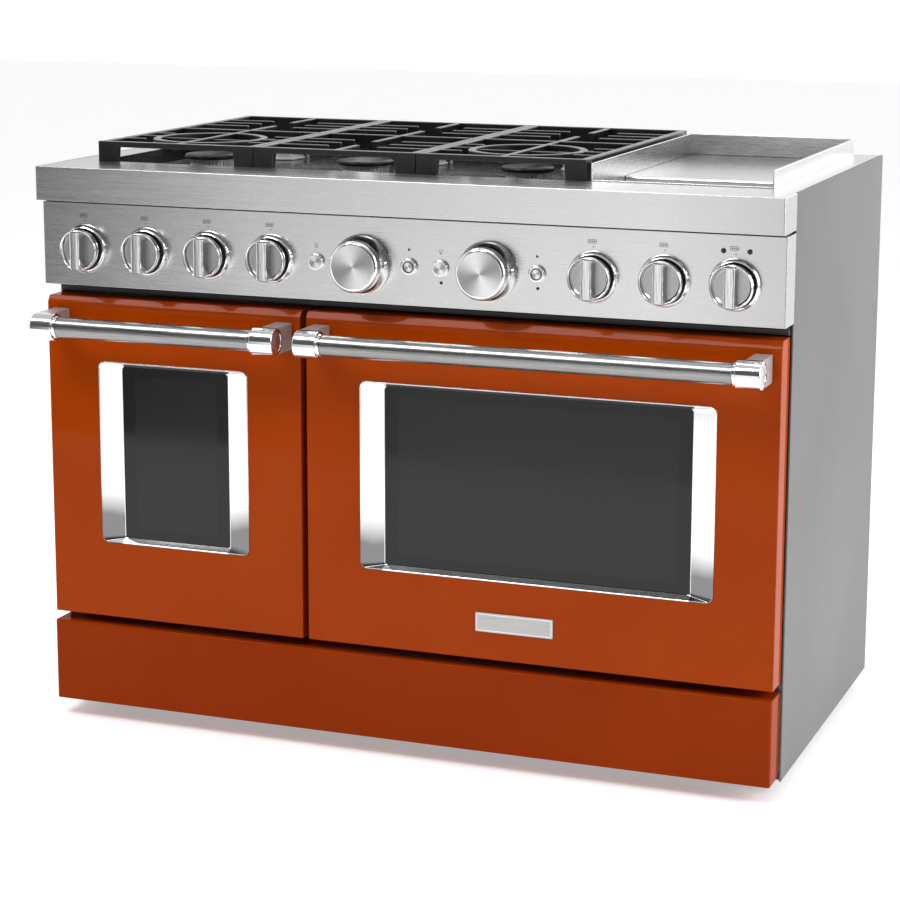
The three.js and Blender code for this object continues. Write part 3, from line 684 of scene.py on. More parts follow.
def flankChrome(side, gx0, gx1, gz0, gz1):
    # the pressed surround's flanks: a painted reflection, bright above and falling to a painted dark near the
    # foot, over upright drawing marks
    f = Finish(side + "FlankChrome", Metallic=1.0)
    x, y, z = f.axes()
    rise = f.spread(z, gz0 * mm, gz1 * mm)
    onFlank = (x < (gx0 - 1) * mm) + (x > (gx1 + 1) * mm)
    marks = f.noise(420, 2, (1, 1, 0.02))
    wander = f.noise(9, 2, (1, 1, 0.35))
    # painted reflection on the side flanks: light with height, dark towards the foot
    shade = f.spread(rise + wander * 0.22 - 0.11, 0.12, 0.3, 0.03, 1.0)
    lit = shade * (0.9 + marks * 0.18)
    bright = f.blend(lit, tone(116, 116, 118), grey(252))
    f.feed(Base_Color=f.blend(onFlank, tone(226, 227, 228), bright),
           Roughness=f.spread(marks, 0.3, 0.7, 0.1, 0.2))
    f.bump(marks, 0.006)
    return f.material


def glassFinish(name, gx0, gx1, gz0, gz1):
    # dark tinted glass, with the printed border of the inner screen just visible
    f = Finish(name, Coat_Weight=0.0, IOR=1.42)
    x, y, z = f.axes()
    cx, cz = (gx0 + gx1) / 2 * mm, (gz0 + gz1) / 2 * mm
    halfX, halfZ = (gx1 - gx0) / 2 * mm, (gz1 - gz0) / 2 * mm
    toSide = halfX - x.maths("ABSOLUTE", x - cx, 0)
    toEnd = halfZ - x.maths("ABSOLUTE", z - cz, 0)
    inset = toSide.maths("MINIMUM", toSide - 0.022, toEnd - 0.016)
    screen = f.spread(inset, -0.0006, 0.0006)
    edge = f.spread(inset, -0.004, 0.0)
    mesh = f.node("TexVoronoi", None, {"Vector": f.place(), "Scale": 900.0})
    tint = f.blend(screen, tone(12, 13, 14), tone(22, 23, 24))
    f.feed(Base_Color=f.blend(mesh * 0.25 * screen, tint, tone(26, 27, 28)),
           Roughness=f.spread(edge + f.noise(20) * 0.2, 0, 1.2, 0.05, 0.09))
    f.bump(f.noise(3, 1), 0.02)
    return f.material


def doorGlass(side):
    low, high = drawn(side + "_door_glass")
    outer = Form().block(low.x, high.x, low.y, high.y, low.z, high.z, 0.6, 2)
    finish = glassFinish(side + "Glass", low.x + 8, high.x - 8, low.z + 5, high.z - 5)
    outer.piece(side + "DoorGlass", finish, side + "_door", [side + "_door_glass"], slot="glass")
    inner = Form().block(low.x + 23.5, high.x - 23.5, 38, 41.5, low.z + 20.5, high.z - 20.5, 0.6, 2)
    inner.piece(side + "DoorInnerGlass", finish, side + "_door")


def doorHandle(side):
    low, high = drawn(side + "_door_handle_bar")
    mid = (low + high) / 2
    r = door["bar"]
    long = high.x - low.x
    bar = Form().turned([(0, 0), (r - 0.6, 0), (r, 0.6), (r, long - 0.6), (r - 0.6, long), (0, long)],
                        72, "right", (low.x - mid.x, 0, 0))
    bar.piece(side + "HandleBar", barSteel, side + "_door", [side + "_door_handle_bar"], at=mid,
              slot="stainless")
    for end, facing, sign in (("left", "right", 1), ("right", "left", -1)):
        node = side + "_door_handle_post_" + end
        a, b = drawn(node)
        start = a.x if sign > 0 else b.x
        c, k, n = door["cap"], door["capLong"], door["collar"]
        body = side + "_door"
        profile = [(0, 0.9), (15.5, 0.9), (16.2, 0), (19.6, 0), (c - 0.7, 0.8), (c, 2.2),
                   (c, k - n - 1.4), (c - 0.5, k - n - 0.4), (c - 1.4, k - n), (r + 2.4, k - n + 0.1),
                   (r + 1.7, k - n + 0.7), (r + 1.5, k - 0.7), (r + 0.9, k), (0, k)]
        post = Form().turned(profile, 80, facing, (0, 0, 0))
        place = (start, mid.y, mid.z)
        post.piece(side + "HandlePost" + end.capitalize(), chrome, body, [node], at=place, slot="chrome")
        w = door["arm"]
        x0, x1 = (1.5, 1.5 + w) if sign > 0 else (-1.5 - w, -1.5)
        arm = Form().block(x0, x1, 0, b.y - mid.y, -c + 0.6, c - 0.6, 1.6, 3)
        arm.piece(side + "HandleArm" + end.capitalize(), armSteel, body, at=place, slot="chrome")
        disc = Form().turned([(0, 0.35), (14.6, 0.35), (15.3, 0.8), (15.3, 1.5), (0, 1.5)], 64, facing,
                             (0, 0, 0))
        studX = (0.05, 0.5) if sign > 0 else (-0.5, -0.05)
        for y, z in circle(0, 0, 9.8, 12):
            disc.block(*studX, y - 0.5, y + 0.5, z - 0.5, z + 0.5, 0.15, 1)
        disc.piece(side + "HandleBadge" + end.capitalize(), steelUp, body, at=place)


def doorBack(side):
    # the enamelled inner panel, the woven gasket round its edge and the screws that hold it
    low, high = drawn(side + "_door_liner")
    glassLow, glassHigh = drawn(side + "_door_glass")
    liner = Form()
    face = roundRect(low.x, high.x, low.z, high.z, 3)
    view = roundRect(glassLow.x + 20, glassHigh.x - 20, glassLow.z + 17, glassHigh.z - 17, 6)
    liner.sheet([face, view], 3.8, "front", 41.2)
    duct = [upright(y, glassLow.x + g, glassHigh.x - g, glassLow.z + g - 3, glassHigh.z - g + 3, 6)
            for y, g in ((15.2, 20), (44, 20), (44, 18.4), (15.2, 18.4), (15.2, 20))]
    liner.loft(duct)
    liner.piece(side + "DoorLiner", ovenEnamel, side + "_door", [side + "_door_liner"], slot="enamel")
    rope = upright(49.2, low.x + 26, high.x - 26, low.z + 26, high.z - 26, 24, 8)
    Form().wire(rope, 4.0, 12, closed=True).piece(side + "DoorGasket", gasketWeave, side + "_door")
    screws = Form()
    for x in (low.x + 12, (low.x + high.x) / 2, high.x - 12):
        for z in (low.z + 12, high.z - 12):
            screws.turned([(0, 46.6), (2.2, 46.5), (3.6, 45.6), (3.8, 44.9), (0, 44.9)], 20, "wall",
                          (x, 0, z))
    screws.piece(side + "DoorScrews", zinc, side + "_door")


for side in ("left", "right"):
    doorSkin(side)
    windowTrim(side)
    doorGlass(side)
    doorHandle(side)
    doorBack(side)


def namePlate():
    low, high = drawn("right_door_name_plate")

    def edge(inset, r):
        return roundRect(low.x + inset, high.x - inset, low.z + inset, high.z - inset, r)
    plate = Form().sheet([edge(0, 1.5)], high.y - low.y, "front", low.y, 0.3)
    plate.piece("namePlate", brushedFinish("namePlateSteel", looks["arm"], "x"), "right_door",
                ["right_door_name_plate"], slot="stainless")
    frameLine = Form().sheet([edge(2.2, 1), edge(3, 0.7)], 0.3, "front", low.y - 0.15)
    frameLine.piece("namePlateBorder", chrome, "right_door")


namePlate()
print("doors made")


# ---- kick panel and sides ----

def kickPanel():
    low, high = drawn("kick_panel")
    e, sheet = 4.5, 1.5

    def outline(y, sides, ends, r):
        return upright(y, low.x + sides, high.x - sides, low.z + ends, high.z - sides, r, 3)
    loops = []
    for i in range(6):
        a = math.pi / 2 * i / 5
        inset, back = e * (1 - math.sin(a)), e * (1 - math.cos(a))
        loops.append(outline(low.y + back, inset, inset * 0.5, max(2.4 - inset * 0.3, 0.5)))
    loops += [outline(high.y, 0, 0, 2.4), outline(high.y, sheet, sheet, sheet),
              outline(low.y + 6, sheet, sheet, sheet)]
    kick = Form().loft(loops, capped=True)
    # the kick panel takes the darker copy of the orange paint: painted shade
    kick.piece("kickPanel", orangeShadedCopy, root, ["kick_panel"], slot="orange_paint")


kickPanel()


def carried(node, finish, soft):
    # a CAD piece that stays, with its flat faces cleaned, its edges eased and its own finish
    kept = nodes[node]
    kept.data.materials.clear()
    kept.data.materials.append(finish)
    for face in kept.data.polygons:
        face.use_smooth = True
    weld = kept.modifiers.new("weld", "WELD")
    weld.merge_threshold = 0.00005
    clean = kept.modifiers.new("clean", "DECIMATE")
    clean.decimate_type = "DISSOLVE"
    clean.angle_limit = math.radians(0.5)
    ease = kept.modifiers.new("ease", "BEVEL")
    ease.width = soft * mm
    ease.segments = 2
    ease.angle_limit = math.radians(30)
    ease.harden_normals = True


carried("side_panel_left", sideGrey, 0.8)
carried("side_panel_right", sideGrey, 0.8)
carried("back_panel", zinc, 0.5)
carried("base_frame", zinc, 0.5)
for node in ("left_oven_liner", "right_oven_liner"):
    carried(node, ovenEnamel, 1.2)


def backScrews():
    low, high = drawn("back_panel")
    screws = Form()
    for i in range(9):
        for z in (low.z + 14, high.z - 10):
            x = low.x + 14 + (high.x - low.x - 28) * i / 8
            screws.turned([(0, 2.4), (3.0, 2.4), (3.6, 1.6), (3.6, -0.5), (0, -0.5)], 6, "wall",
                          (x, high.y - 2.2, z))
    screws.piece("backScrews", chrome, root)


def feet():
    for spot in ("front_left", "front_right", "rear_left", "rear_right"):
        node = "foot_" + spot
        low, high = drawn(node)
        mid = (low + high) / 2
        tall = high.z
        foot = Form().turned([(0, 0), (17.6, 0), (18.8, 1.2), (18.8, 3.2), (17.2, 3.8)], 48, "up")
        foot.turned([(0, 3.8), (17.2, 3.8), (18.2, 4.6), (18.2, 8.2), (17.4, 9), (8.8, 9), (0, 9)], 6, "up")
        thread = [(0, 9), (5.6, 9)]
        z = 9.6
        while z < tall - 1.2:
            thread += [(5.8, z), (5.2, z + 0.6)]
            z += 1.2
        foot.turned(thread + [(5.2, tall), (0, tall)], 24, "up")
        foot.piece("foot" + wordsOf(spot), zinc, node + "_body", [node], at=(mid.x, mid.y, 0),
                   slot="zinc_steel")


backScrews()
feet()
print("kick panel, sides and feet made")


# ---- cooktop ----

cook = {"corner": 2.5, "edge": 1.1, "ledge": 2.0, "trimBottom": 860.0}


def frontTrim():
    # the rounded front rail and the brushed ledge behind it, in one pressing
    low, high = drawn("cooktop")
    leftGrate, rightGrate = drawn("grate_left")[0], drawn("grate_right")[1]
    gLow, gHigh = drawn("griddle_surround")
    trimBottom = cook["trimBottom"]
    bodyFront = drawn("side_panel_left")[0].y
    e, lap = cook["edge"], 1.5

    def plan(inset, z):
        return frontPlan(low.x + inset, high.x - inset, low.y + inset, bodyFront - 0.3, cook["corner"], z)
    loops = [plan(2.0, trimBottom + 12), plan(1.2, trimBottom + 0.4), plan(0.5, trimBottom)]
    for i in range(5):
        a = math.pi / 2 * i / 4
        loops.append(plan(e * 0.4 * (1 - math.sin(a)), trimBottom + e * 0.4 * (1 - math.cos(a))))
    for i in range(6):
        a = math.pi / 2 * i / 5
        loops.append(plan(e * (1 - math.cos(a)), high.z - e * (1 - math.sin(a))))
    rail = Form().loft(loops)
    front = plan(e, high.z)
    back = drawn("back_panel")[1].y - 3.6
    side = high.x - 3.4
    step = bodyFront - 0.4
    outline = [(x, y) for x, y, z in front[:-2]]
    outline += [(high.x - e, step), (side, step), (side, back), (-side, back), (-side, step),
                (low.x + e, step)]
    x0, x1, y0, y1 = leftGrate.x - lap, rightGrate.x + lap, leftGrate.y - lap, rightGrate.y + lap
    trayHole = roundRect(x0, x1, y0, y1, 3)
    griddleHole = roundRect(gLow.x - 0.3, gHigh.x + 0.3, gLow.y - 0.3, gHigh.y + 0.3, 1)
    rail.sheet([outline, trayHole, griddleHole], cook["ledge"], "top", high.z - cook["ledge"])
    rail.piece("frontTrim", steel, root, ["cooktop"], slot="stainless")
    tray = Form()
    floorZ = leftGrate.z - 0.3
    rings = []
    for inset, z, r in ((0, high.z - 1.2, 3), (0, floorZ + 5, 3), (1.5, floorZ + 1.5, 4), (5, floorZ, 5)):
        rings.append([(x, y, z) for x, y in roundRect(x0 + inset, x1 - inset, y0 + inset, y1 - inset, r)])
    tray.loft(rings)
    tray.sheet([roundRect(x0 + 5, x1 - 5, y0 + 5, y1 - 5, 5)], 1.0, "top", floorZ - 1.0)
    tray.piece("burnerTray", trayEnamel, root, slot="enamel")


frontTrim()


def burners():
    for spot in ("left_front", "left_rear", "middle_front", "middle_rear", "right_front", "right_rear"):
        head, cap = "burner_head_" + spot, "burner_cap_" + spot
        low, high = drawn(head)
        cLow, cHigh = drawn(cap)
        mid = (low + high) / 2
        r = (high.x - low.x) / 2
        rc = (cHigh.x - cLow.x) / 2
        foot = drawn("grate_left")[0].z
        tall = high.z - foot
        ports = 36

        def port(radius, out, a):
            # small gas ports all round the upper band
            if 8.0 < out < tall - 2.5 and radius > r - 8:
                return radius - 2.0 * (math.cos(a * ports) > 0.1)
            return radius
        profile = [(0, 0), (r - 3, 0), (r - 2.2, 0.8), (r - 2.4, 2.6), (r - 5.5, 4.4), (r - 5.8, 7.6),
                   (r - 5.4, 8.2), (r - 4.6, tall - 2.8), (r - 3.8, tall - 2.2), (r - 3.8, tall), (0, tall)]
        ring = Form().turned(profile, ports * 6, "up", radiusAt=port)
        name = wordsOf(spot)
        ring.piece("burnerRing" + name, burnerMetal, root, [head], at=(mid.x, mid.y, foot),
                   slot="burner_metal", crease=40)
        t = cHigh.z - cLow.z
        profile = [(0, 0), (rc - 2, 0), (rc - 0.6, 0.5), (rc, 1.6), (rc, t - 3.2), (rc - 0.8, t - 1.7),
                   (rc - 2.6, t - 0.7), (rc - 6, t - 0.1), (rc - 9, t), (0, t)]
        cover = Form().turned(profile, 96, "up")
        cover.piece("burnerCap" + name, capIron, cap + "_body", [cap], at=(mid.x, mid.y, cLow.z),
                    slot="cast_iron")
        igniter = Form().turned([(0, 0), (2.6, 0), (2.6, 9), (1.4, 10), (1.1, 14.5), (0, 14.5)], 24, "up")
        off = r + 3.2
        place = (mid.x + off * 0.94, mid.y + off * 0.34, foot)
        igniter.piece("igniter" + name, burnerMetal, root, at=place)


burners()


def grates():
    look = {"soft": 1.5, "bar": 12.0, "clear": 46, "hub": 42}
    for name in ("left", "middle", "right"):
        low, high = drawn("grate_" + name)
        mid = (low + high) / 2
        halfW, halfL = (high.x - low.x) / 2, (high.y - low.y) / 2
        drop = low.z - high.z
        front = drawn("burner_cap_" + name + "_front")
        rear = drawn("burner_cap_" + name + "_rear")
        frontY, rearY = (front[0].y + front[1].y) / 2 - mid.y, (rear[0].y + rear[1].y) / 2 - mid.y
        crossY = (frontY + rearY) / 2 + 7
        bar, s = look["bar"], look["soft"]
        form = Form()
        for side in (-1, 1):
            x0 = -halfW if side < 0 else halfW - bar
            form.block(x0, x0 + bar, -halfL + 2, halfL - 2, -13, -0.1, s, 3, taper=(0.82, 1))
            for legY in (-halfL + 1, halfL - 31):
                form.block(x0 + 0.2, x0 + bar - 0.2, legY, legY + 30, drop + 0.2, -4, s, 3,
                           taper=(0.9, 0.86))
        for y0, skirt in ((-halfL, -9), (halfL - bar, -30)):
            half = [(halfW, 0), (halfW, drop), (halfW - 31, drop), (halfW - 36 - skirt * 0.1, skirt)]
            frame2d = half + [(-x, z) for x, z in half[::-1]]
            form.sheet([frame2d], bar, "front", y0, 1.2)
        form.block(-halfW + 3, halfW - 3, crossY - 5, crossY + 5, -13, 0, s, 3, taper=(1, 0.8))
        reach = halfW - look["hub"]
        ringed = name != "middle"
        for burnerY, isFront in ((frontY, True), (rearY, False)):
            ringHere = ringed and isFront
            length = look["clear"] if ringHere else reach
            for step in (-52, 0, 52):
                y = burnerY + step
                form.block(-halfW + 3, -halfW + length, y - 4, y + 4, -12, -0.4, s, 3, taper=(1, 0.75))
                form.block(halfW - length, halfW - 3, y - 4, y + 4, -12, -0.4, s, 3, taper=(1, 0.75))
            if ringHere:
                form.turned([(82.6, -9.4), (93.4, -9.4), (94, -8.6), (94, -1.6), (92.8, -0.5),
                             (83.2, -0.5), (82, -1.6), (82, -8.6), (82.6, -9.4)],
                            96, "up", (0, burnerY, 0))
                form.block(-4.5, 4.5, -halfL + 2, crossY, -11, -0.2, 1.3, 3, taper=(0.8, 1))
                form.block(-84, 84, burnerY - 3.5, burnerY + 3.5, -11, -3, 1.2, 3)
            else:
                near, far = (-halfL + 2, crossY) if isFront else (crossY, halfL - 2)
                form.block(-5, 5, near, burnerY - 34, -12, -0.2, s, 3, taper=(0.75, 1))
                form.block(-5, 5, burnerY + 34, far, -12, -0.2, s, 3, taper=(0.75, 1))
        form.piece("grate" + name.capitalize(), iron, "grate_" + name + "_body", ["grate_" + name],
                   at=(mid.x, mid.y, high.z), slot="cast_iron", crease=40)


grates()


def griddle():
    low, high = drawn("griddle_surround")
    plateLow, plateHigh = drawn("griddle_plate")
    ledge = drawn("cooktop")[1].z
    t, floorZ = 2.6, plateLow.z - 0.3
    frontZ = ledge + 2
    form = Form()

    def wall(x0, x1, y0, y1, z1):
        form.block(x0, x1, y0, y1, floorZ - 2.5, z1, 0.9, 3)
    wall(low.x, low.x + t, low.y, high.y, high.z)
    wall(high.x - t, high.x, low.y, high.y, high.z)
    wall(low.x + 0.2, high.x - 0.2, high.y - t, high.y, high.z)
    wall(low.x + 0.2, high.x - 0.2, low.y, low.y + t, frontZ)
    form.block(low.x + 1, high.x - 1, low.y + 1, high.y - 1, floorZ - 2.6, floorZ, 0.3, 1)
    form.piece("griddleSurround", brushedFinish("griddleWallSteel", looks["wall"], "level"), root,
               ["griddle_surround"], slot="stainless")
    x0, x1 = plateLow.x + 0.4, plateHigh.x - 0.4
    y0, y1, z0, z1 = plateLow.y, plateHigh.y - 0.4, plateLow.z, plateHigh.z
    plate = Form()
    lip = [(y0, z0), (y0, z1 - 4.5), (y0 + 0.6, z1 - 2.2), (y0 + 2.2, z1 - 0.6), (y0 + 5, z1),
           (y1 - 3, z1), (y1 - 0.8, z1 - 0.8), (y1, z1 - 3), (y1, z0)]
    plate.loft([[(x, y, z) for y, z in lip] for x in (x0, x1)], capped=True)
    plate.piece("griddlePlate", brushedFinish("griddlePlateSteel", looks["plate"], "x"), root,
                ["griddle_plate"], slot="stainless")
    # black strips at the plate's back and side edges: painted shadow in the gaps between plate and surround
    shadowGaps = Form()
    rear = high.y - t
    shadowGaps.block(plateLow.x + 1, plateHigh.x - 1, rear - 1.2, rear + 0.1, z1 - 2, z1 + 0.6, 0.2, 1)
    shadowGaps.block(plateLow.x - 0.2, plateLow.x + 0.5, y0, y1, z0 + 1, z1 - 0.8, 0.1, 1)
    shadowGaps.block(plateHigh.x - 0.5, plateHigh.x + 0.2, y0, y1, z0 + 1, z1 - 0.8, 0.1, 1)
    shadowGaps.piece("griddleShadowGaps", black, root)


griddle()
print("cooktop made")


# ---- control panel ----

panel = {"bottom": 723.0, "corner": 2.5, "edge": 1.0, "bezel": 39.5, "bezelTop": 9.0, "well": 33.5,
         "vent": (42, 48, 706, 716), "tabEvery": 100}
knobNodes = ["knob_left_rear", "knob_left_front", "knob_middle_rear", "knob_middle_front",
             "knob_right_rear", "knob_right_front", "knob_griddle"]


def panelFace():
    low, high = drawn("control_panel")
    top, bottom, e = high.z, panel["bottom"], panel["edge"]
    bodyFront = drawn("side_panel_left")[0].y - 0.3

    def plan(inset, z):
        return frontPlan(low.x + inset, high.x - inset, inset, bodyFront, panel["corner"], z)
    loops = []
    for i in range(5):
        a = math.pi / 2 * i / 4
        loops.append(plan(e * (1 - math.sin(a)), bottom + e * (1 - math.cos(a))))
    loops += [plan(0, top - e), plan(e * 0.3, top - e * 0.3), plan(e, top)]
    shell = Form().loft(loops, capped=True)
    shell.piece("controlPanel", steel, root, ["control_panel"], slot="stainless")
    seam = Form().block(low.x + 5, high.x - 5, 3.5, bodyFront - 1, top - 0.5, top + 4.0, 0.3, 1)
    seam.piece("trimShadowGap", black, root)
    # the cooling slot under the panel: a rounded dark strip hung on small tabs over the doors' back edge
    y0, y1, z0, z1 = panel["vent"]
    vent = Form().block(-604, 604, y0, y1, z0, z1, 2.4, 4)
    for i in range(-6, 7):
        x = i * panel["tabEvery"]
        vent.block(x - 3.2, x + 3.2, y0, y1 - 1, z1 - 2, bottom + 2, 0.8, 2)
    vent.piece("ventStrip", ventGrey, root)
    # a black block behind the cooling slot: painted shade for the dark inside of the slot
    slotShadeFill = Form().block(-602, 602, 50.6, 53, 705, 723, 0.5, 1)
    slotShadeFill.piece("ventSlotShade", black, root)
    bezels = Form()
    # a black disc at the bottom of each knob well: painted shade for the recess behind the knob
    wellShades = Form()
    b, h, w = panel["bezel"], panel["bezelTop"], panel["well"]
    for node in knobNodes:
        mid = midOf(node)
        at = (mid.x, 0, mid.z)
        flare = [(w + 0.5, 1.5), (b - 1.2, 0.1), (b - 0.1, 0.5), (b, 1.4), (b - 1.0, 4.4), (b - 2.8, 7.2),
                 (b - 4.4, h - 0.5), (b - 5.2, h), (w + 0.5, h - 0.3), (w, h - 0.9), (w, 1.5)]
        bezels.turned(flare, 96, "room", at)
        wellShades.turned([(0, 0.6), (w + 0.3, 0.6), (w + 0.3, 2.2), (0, 2.2)], 64, "room", at)
    bezels.piece("knobBezels", chrome, root, slot="chrome", crease=30)
    wellShades.piece("knobWellShades", black, root)


def panelMarks():
    # small inlaid symbols over the knobs and lamps; none of them is a letter
    marks = Form()
    y0, y1 = -0.18, 0.3

    def bar(x0, x1, z0, z1):
        marks.block(x0, x1, y0, y1, z0, z1, 0.1, 1)
    for node in knobNodes:
        mid = midOf(node)
        x, z = mid.x - 2, mid.z + 53
        marks.sheet([roundRect(x - 6.5, x + 6.5, z - 3, z + 3, 0.6),
                     roundRect(x - 5.9, x + 5.9, z - 2.4, z + 2.4, 0.4)], 0.3, "front", y0)
        for k in range(3):
            bar(x - 4.3 + k * 3.4, x - 2.5 + k * 3.4, z - 1.2, z + 1.2)
        bar(mid.x - 0.5, mid.x + 0.5, mid.z + 43.5, mid.z + 46.5)
    for side in ("left", "right"):
        lamp, go = midOf("button_light_" + side), midOf("button_start_" + side)
        x, z = lamp.x, lamp.z + 26
        marks.sheet([circle(x, z, 2.6), circle(x, z, 2.0)], 0.3, "front", y0)
        bar(x - 1.1, x + 1.1, z - 4.6, z - 3.4)
        x, z = go.x, go.z + 26
        marks.sheet([[(x - 2, z - 2.6), (x + 2.6, z), (x - 2, z + 2.6)]], 0.3, "front", y0)
    marks.piece("panelMarks", black, root)
    lamps = Form()
    for x, z, r in ((513.6, 832, 4.0), (552.7, 832, 4.0), (76.6, 761, 2.6), (230.9, 761, 2.6)):
        lamps.turned([(0, 1.9), (r * 0.5, 1.7), (r * 0.85, 1.0), (r, 0.2), (r, -0.5), (0, -0.5)], 40,
                     "room", (x, 0, z))
    lamps.piece("indicatorLamps", darkFinish("lampLens", tone(34, 26, 26), 0.14), root)


panelFace()
panelMarks()


def knobs():
    look = {"rim": 33.0, "sunk": 19.0, "gripWidth": 17.0}
    for node in knobNodes:
        mid = midOf(node)
        name = wordsOf(node[5:])
        r, g, sunk = look["rim"], look["gripWidth"] / 2, look["sunk"]
        profile = [(0, 4), (r - 3.2, 4), (r - 2.6, 4.6), (r - 0.2, 20), (r, 24.5), (r - 0.4, 26.2),
                   (r - 1.3, 27), (r - 2.2, 26.7), (r - 3.4, 25.0), (r - 6.2, sunk + 1.2),
                   (r - 6.6, sunk), (0, sunk)]
        rim = Form().turned(profile, 96, "room")
        rim.piece("knobRim" + name, chrome, node + "_body", [node], at=(mid.x, 0, mid.z), slot="chrome",
                  crease=50)
        disc = Form().turned([(0, sunk - 0.2), (r - 6.9, sunk - 0.2), (r - 6.9, sunk + 0.2),
                              (0, sunk + 0.3)], 64, "room")
        disc.piece("knobDisc" + name, knobSatin, node + "_body", at=(mid.x, 0, mid.z), slot="chrome")
        grip = Form()
        rings = []
        for out, inset in ((sunk - 0.5, -1.0), (22, -0.7), (30, -0.2), (35.2, 0.1), (36.8, 0.6),
                           (37.6, 1.5), (37.9, 3.4), (38, 6.2)):
            ends = r - 2.8 - min(inset, 1.5) * 0.8
            corner = max(2.2 - inset * 0.3, 0.6)
            rings.append(upright(-out, -g + inset, g - inset, -ends, ends, corner, 8))
        grip.loft(rings, capped=True)
        grip.piece("knobGrip" + name, knobGripFinish, node + "_body", at=(mid.x, 0, mid.z), slot="chrome",
                   crease=50)


def satinFinish(name, deep, light, roughness):
    # machined flat: faint rings, softly lit
    f = Finish(name, Metallic=1.0)
    x, y, z = f.axes()
    radius = (x * x + z * z) ** 0.5
    rings = f.node("TexNoise", {"noise_dimensions": "1D"}, {"W": radius, "Scale": 1800.0, "Detail": 2.0})
    f.feed(Base_Color=f.blend(f.spread(rings + f.noise(20) * 0.4, 0.5, 0.95), deep, light),
           Roughness=f.spread(rings, 0.3, 0.7, roughness - 0.05, roughness + 0.05))
    f.bump(rings, 0.006)
    return f.material


def gripFinish():
    # cast and polished grip, with a soft brushing up and down
    f = Finish("knobGripMetal", Metallic=1.0)
    brush = f.noise(500, 2, (1, 1, 0.06))
    f.feed(Base_Color=f.blend(f.spread(brush, 0.3, 0.7), grey(196), grey(238)),
           Roughness=f.spread(brush, 0.3, 0.7, 0.14, 0.24))
    f.bump(brush, 0.006)
    return f.material


knobSatin = satinFinish("knobSatin", tone(158, 158, 159), tone(192, 192, 193), 0.3)
knobGripFinish = gripFinish()
knobs()


def dials():
    look = {"rim": 40.0, "face": 33.6}
    for node in ("dial_left_oven", "dial_right_oven"):
        low, high = drawn(node)
        mid = midOf(node)
        body = node.replace("_oven", "") + "_body"
        name = node.split("_")[1].capitalize()
        r, c, b = look["rim"], look["face"], (high.x - low.x) / 2
        profile = [(0, 2), (b - 0.6, 2), (b, 2.7), (b, 8.5), (b - 0.7, 12), (b - 2.2, 17), (r + 1.6, 23.4),
                   (r + 0.6, 24.6), (r, 26.5), (r, 35.5), (r - 0.5, 37.4), (r - 2.4, 39.8), (r - 4.6, 40.9),
                   (r - 5.6, 41), (c + 0.6, 40.7), (c + 0.2, 39.6), (0, 39.6)]
        base = Form().turned(profile, 112, "room")
        base.piece("dialBody" + name, chrome, body, [node], at=(mid.x, 0, mid.z), slot="chrome", crease=40)
        face = Form().turned([(0, 39.4), (c, 39.4), (c, 39.9), (0, 40.1)], 96, "room")
        face.piece("dialFace" + name, spun, body, at=(mid.x, 0, mid.z), slot="chrome")
        notch = Form().block(-0.8, 0.8, -41.0, -40.4, 34.8, 38.4, 0.2, 1)
        notch.piece("dialMark" + name, black, body, at=(mid.x, 0, mid.z))


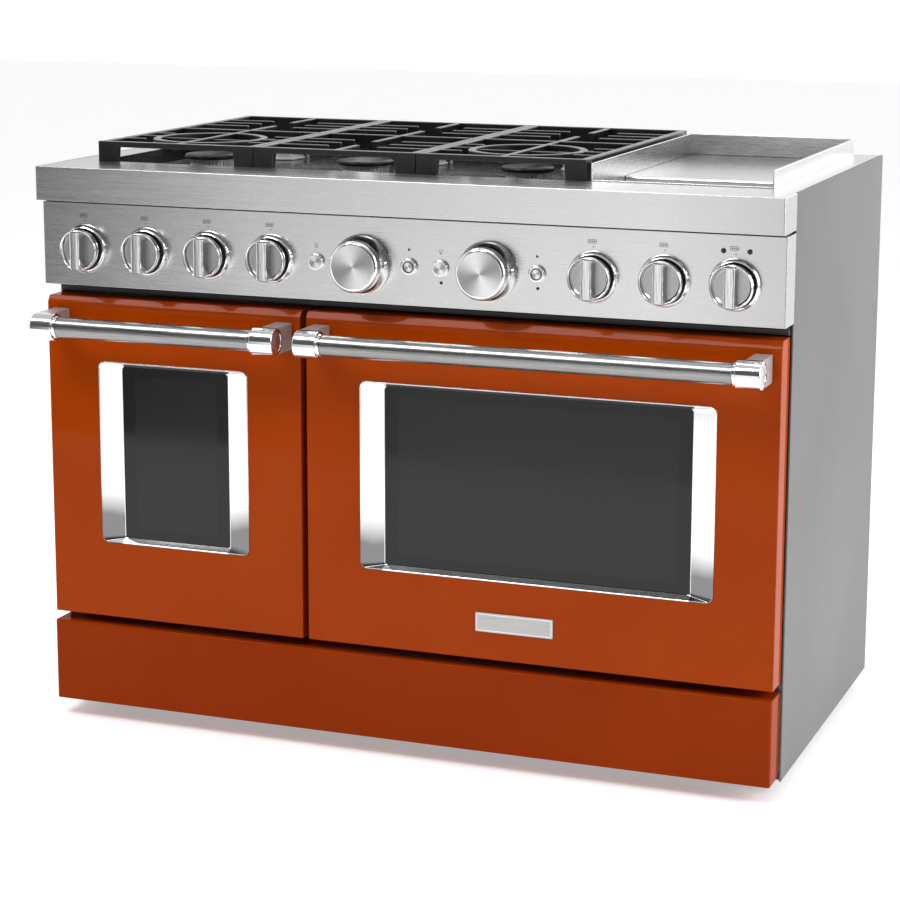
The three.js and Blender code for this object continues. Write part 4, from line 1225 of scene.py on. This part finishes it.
def buttons():
    for node in ("button_light_left", "button_light_right", "button_start_left", "button_start_right"):
        low, high = drawn(node)
        mid = midOf(node)
        r = (high.x - low.x) / 2
        name = wordsOf(node[len("button_"):])
        body = node + "_body"
        cap = Form().turned([(0, -10), (r - 0.3, -10), (r - 0.3, 3.2), (r - 0.6, 4.6), (r - 1.6, 5.7),
                             (r - 2.8, 6), (r - 3.6, 5.7), (0, 5.5)], 72, "room")
        cap.piece("button" + name, chrome, body, [node], at=(mid.x, 0, mid.z), slot="chrome", crease=45)
        disc = Form().turned([(0, 5.4), (r - 3.8, 5.4), (r - 3.8, 5.75), (0, 5.9)], 56, "room")
        disc.piece("buttonFace" + name, spun, body, at=(mid.x, 0, mid.z))
        if "start" in node:
            ring = Form().turned([(r - 6.4, 5.5), (r - 4.6, 5.5), (r - 4.6, 6.02), (r - 6.4, 6.02),
                                  (r - 6.4, 5.5)], 56, "room")
            ring.piece("buttonRing" + name, black, body, at=(mid.x, 0, mid.z))


dials()
buttons()
print("control panel made")


# ---- ovens ----

def racks():
    for side, wires in (("left", 11), ("right", 21)):
        node = side + "_oven_rack"
        low, high = drawn(node)
        x0, x1, y0, y1 = low.x + 3, high.x - 3, low.y + 3, high.y - 3
        z = low.z + 3.2
        form = Form().wire([(x, y, z) for x, y in roundRect(x0, x1, y0, y1, 12, 6)], 3.0, 12, closed=True)
        form.wire([(x0, (y0 + y1) / 2, z), (x1, (y0 + y1) / 2, z)], 2.6, 10)
        for i in range(1, wires):
            x = x0 + (x1 - x0) * i / wires
            form.wire([(x, y0, z + 2.2), (x, y1, z + 2.2)], 1.9, 8)
        form.piece(side + "Rack", chrome, side + "_rack_body", [node], slot="chrome", crease=50)


def ovenFittings():
    # a lamp lens and a thermostat bulb on each rear wall
    for side in ("left", "right"):
        rackLow, rackHigh = drawn(side + "_oven_rack")
        x0, x1 = rackLow.x, rackHigh.x
        wall = 557.0
        lamp = Form().turned([(0, 9), (12, 8.2), (19, 5.6), (21, 2.5), (24, 2.2), (24, 0.2), (0, 0.2)], 48,
                             "room", (x1 - 46, wall, 600))
        lamp.piece(side + "OvenLamp", lampGlass, root)
        probe = Form().wire([(x0 + 40, wall - 1, 618), (x0 + 40, wall - 60, 618)], 2.4, 12)
        probe.turned([(0, 4), (7, 4), (8, 3), (8, 0.2), (0, 0.2)], 24, "room", (x0 + 40, wall, 618))
        probe.piece(side + "OvenProbe", chrome, root)


def lampFinish():
    f = Finish("lampGlass", Coat_Weight=0.8)
    f.feed(Base_Color=f.blend(f.noise(90), tone(206, 202, 188), tone(238, 234, 222)),
           Roughness=f.spread(f.noise(240), 0.3, 0.7, 0.12, 0.22))
    f.bump(f.noise(300), 0.05)
    return f.material


lampGlass = lampFinish()
racks()
ovenFittings()
print("ovens made")
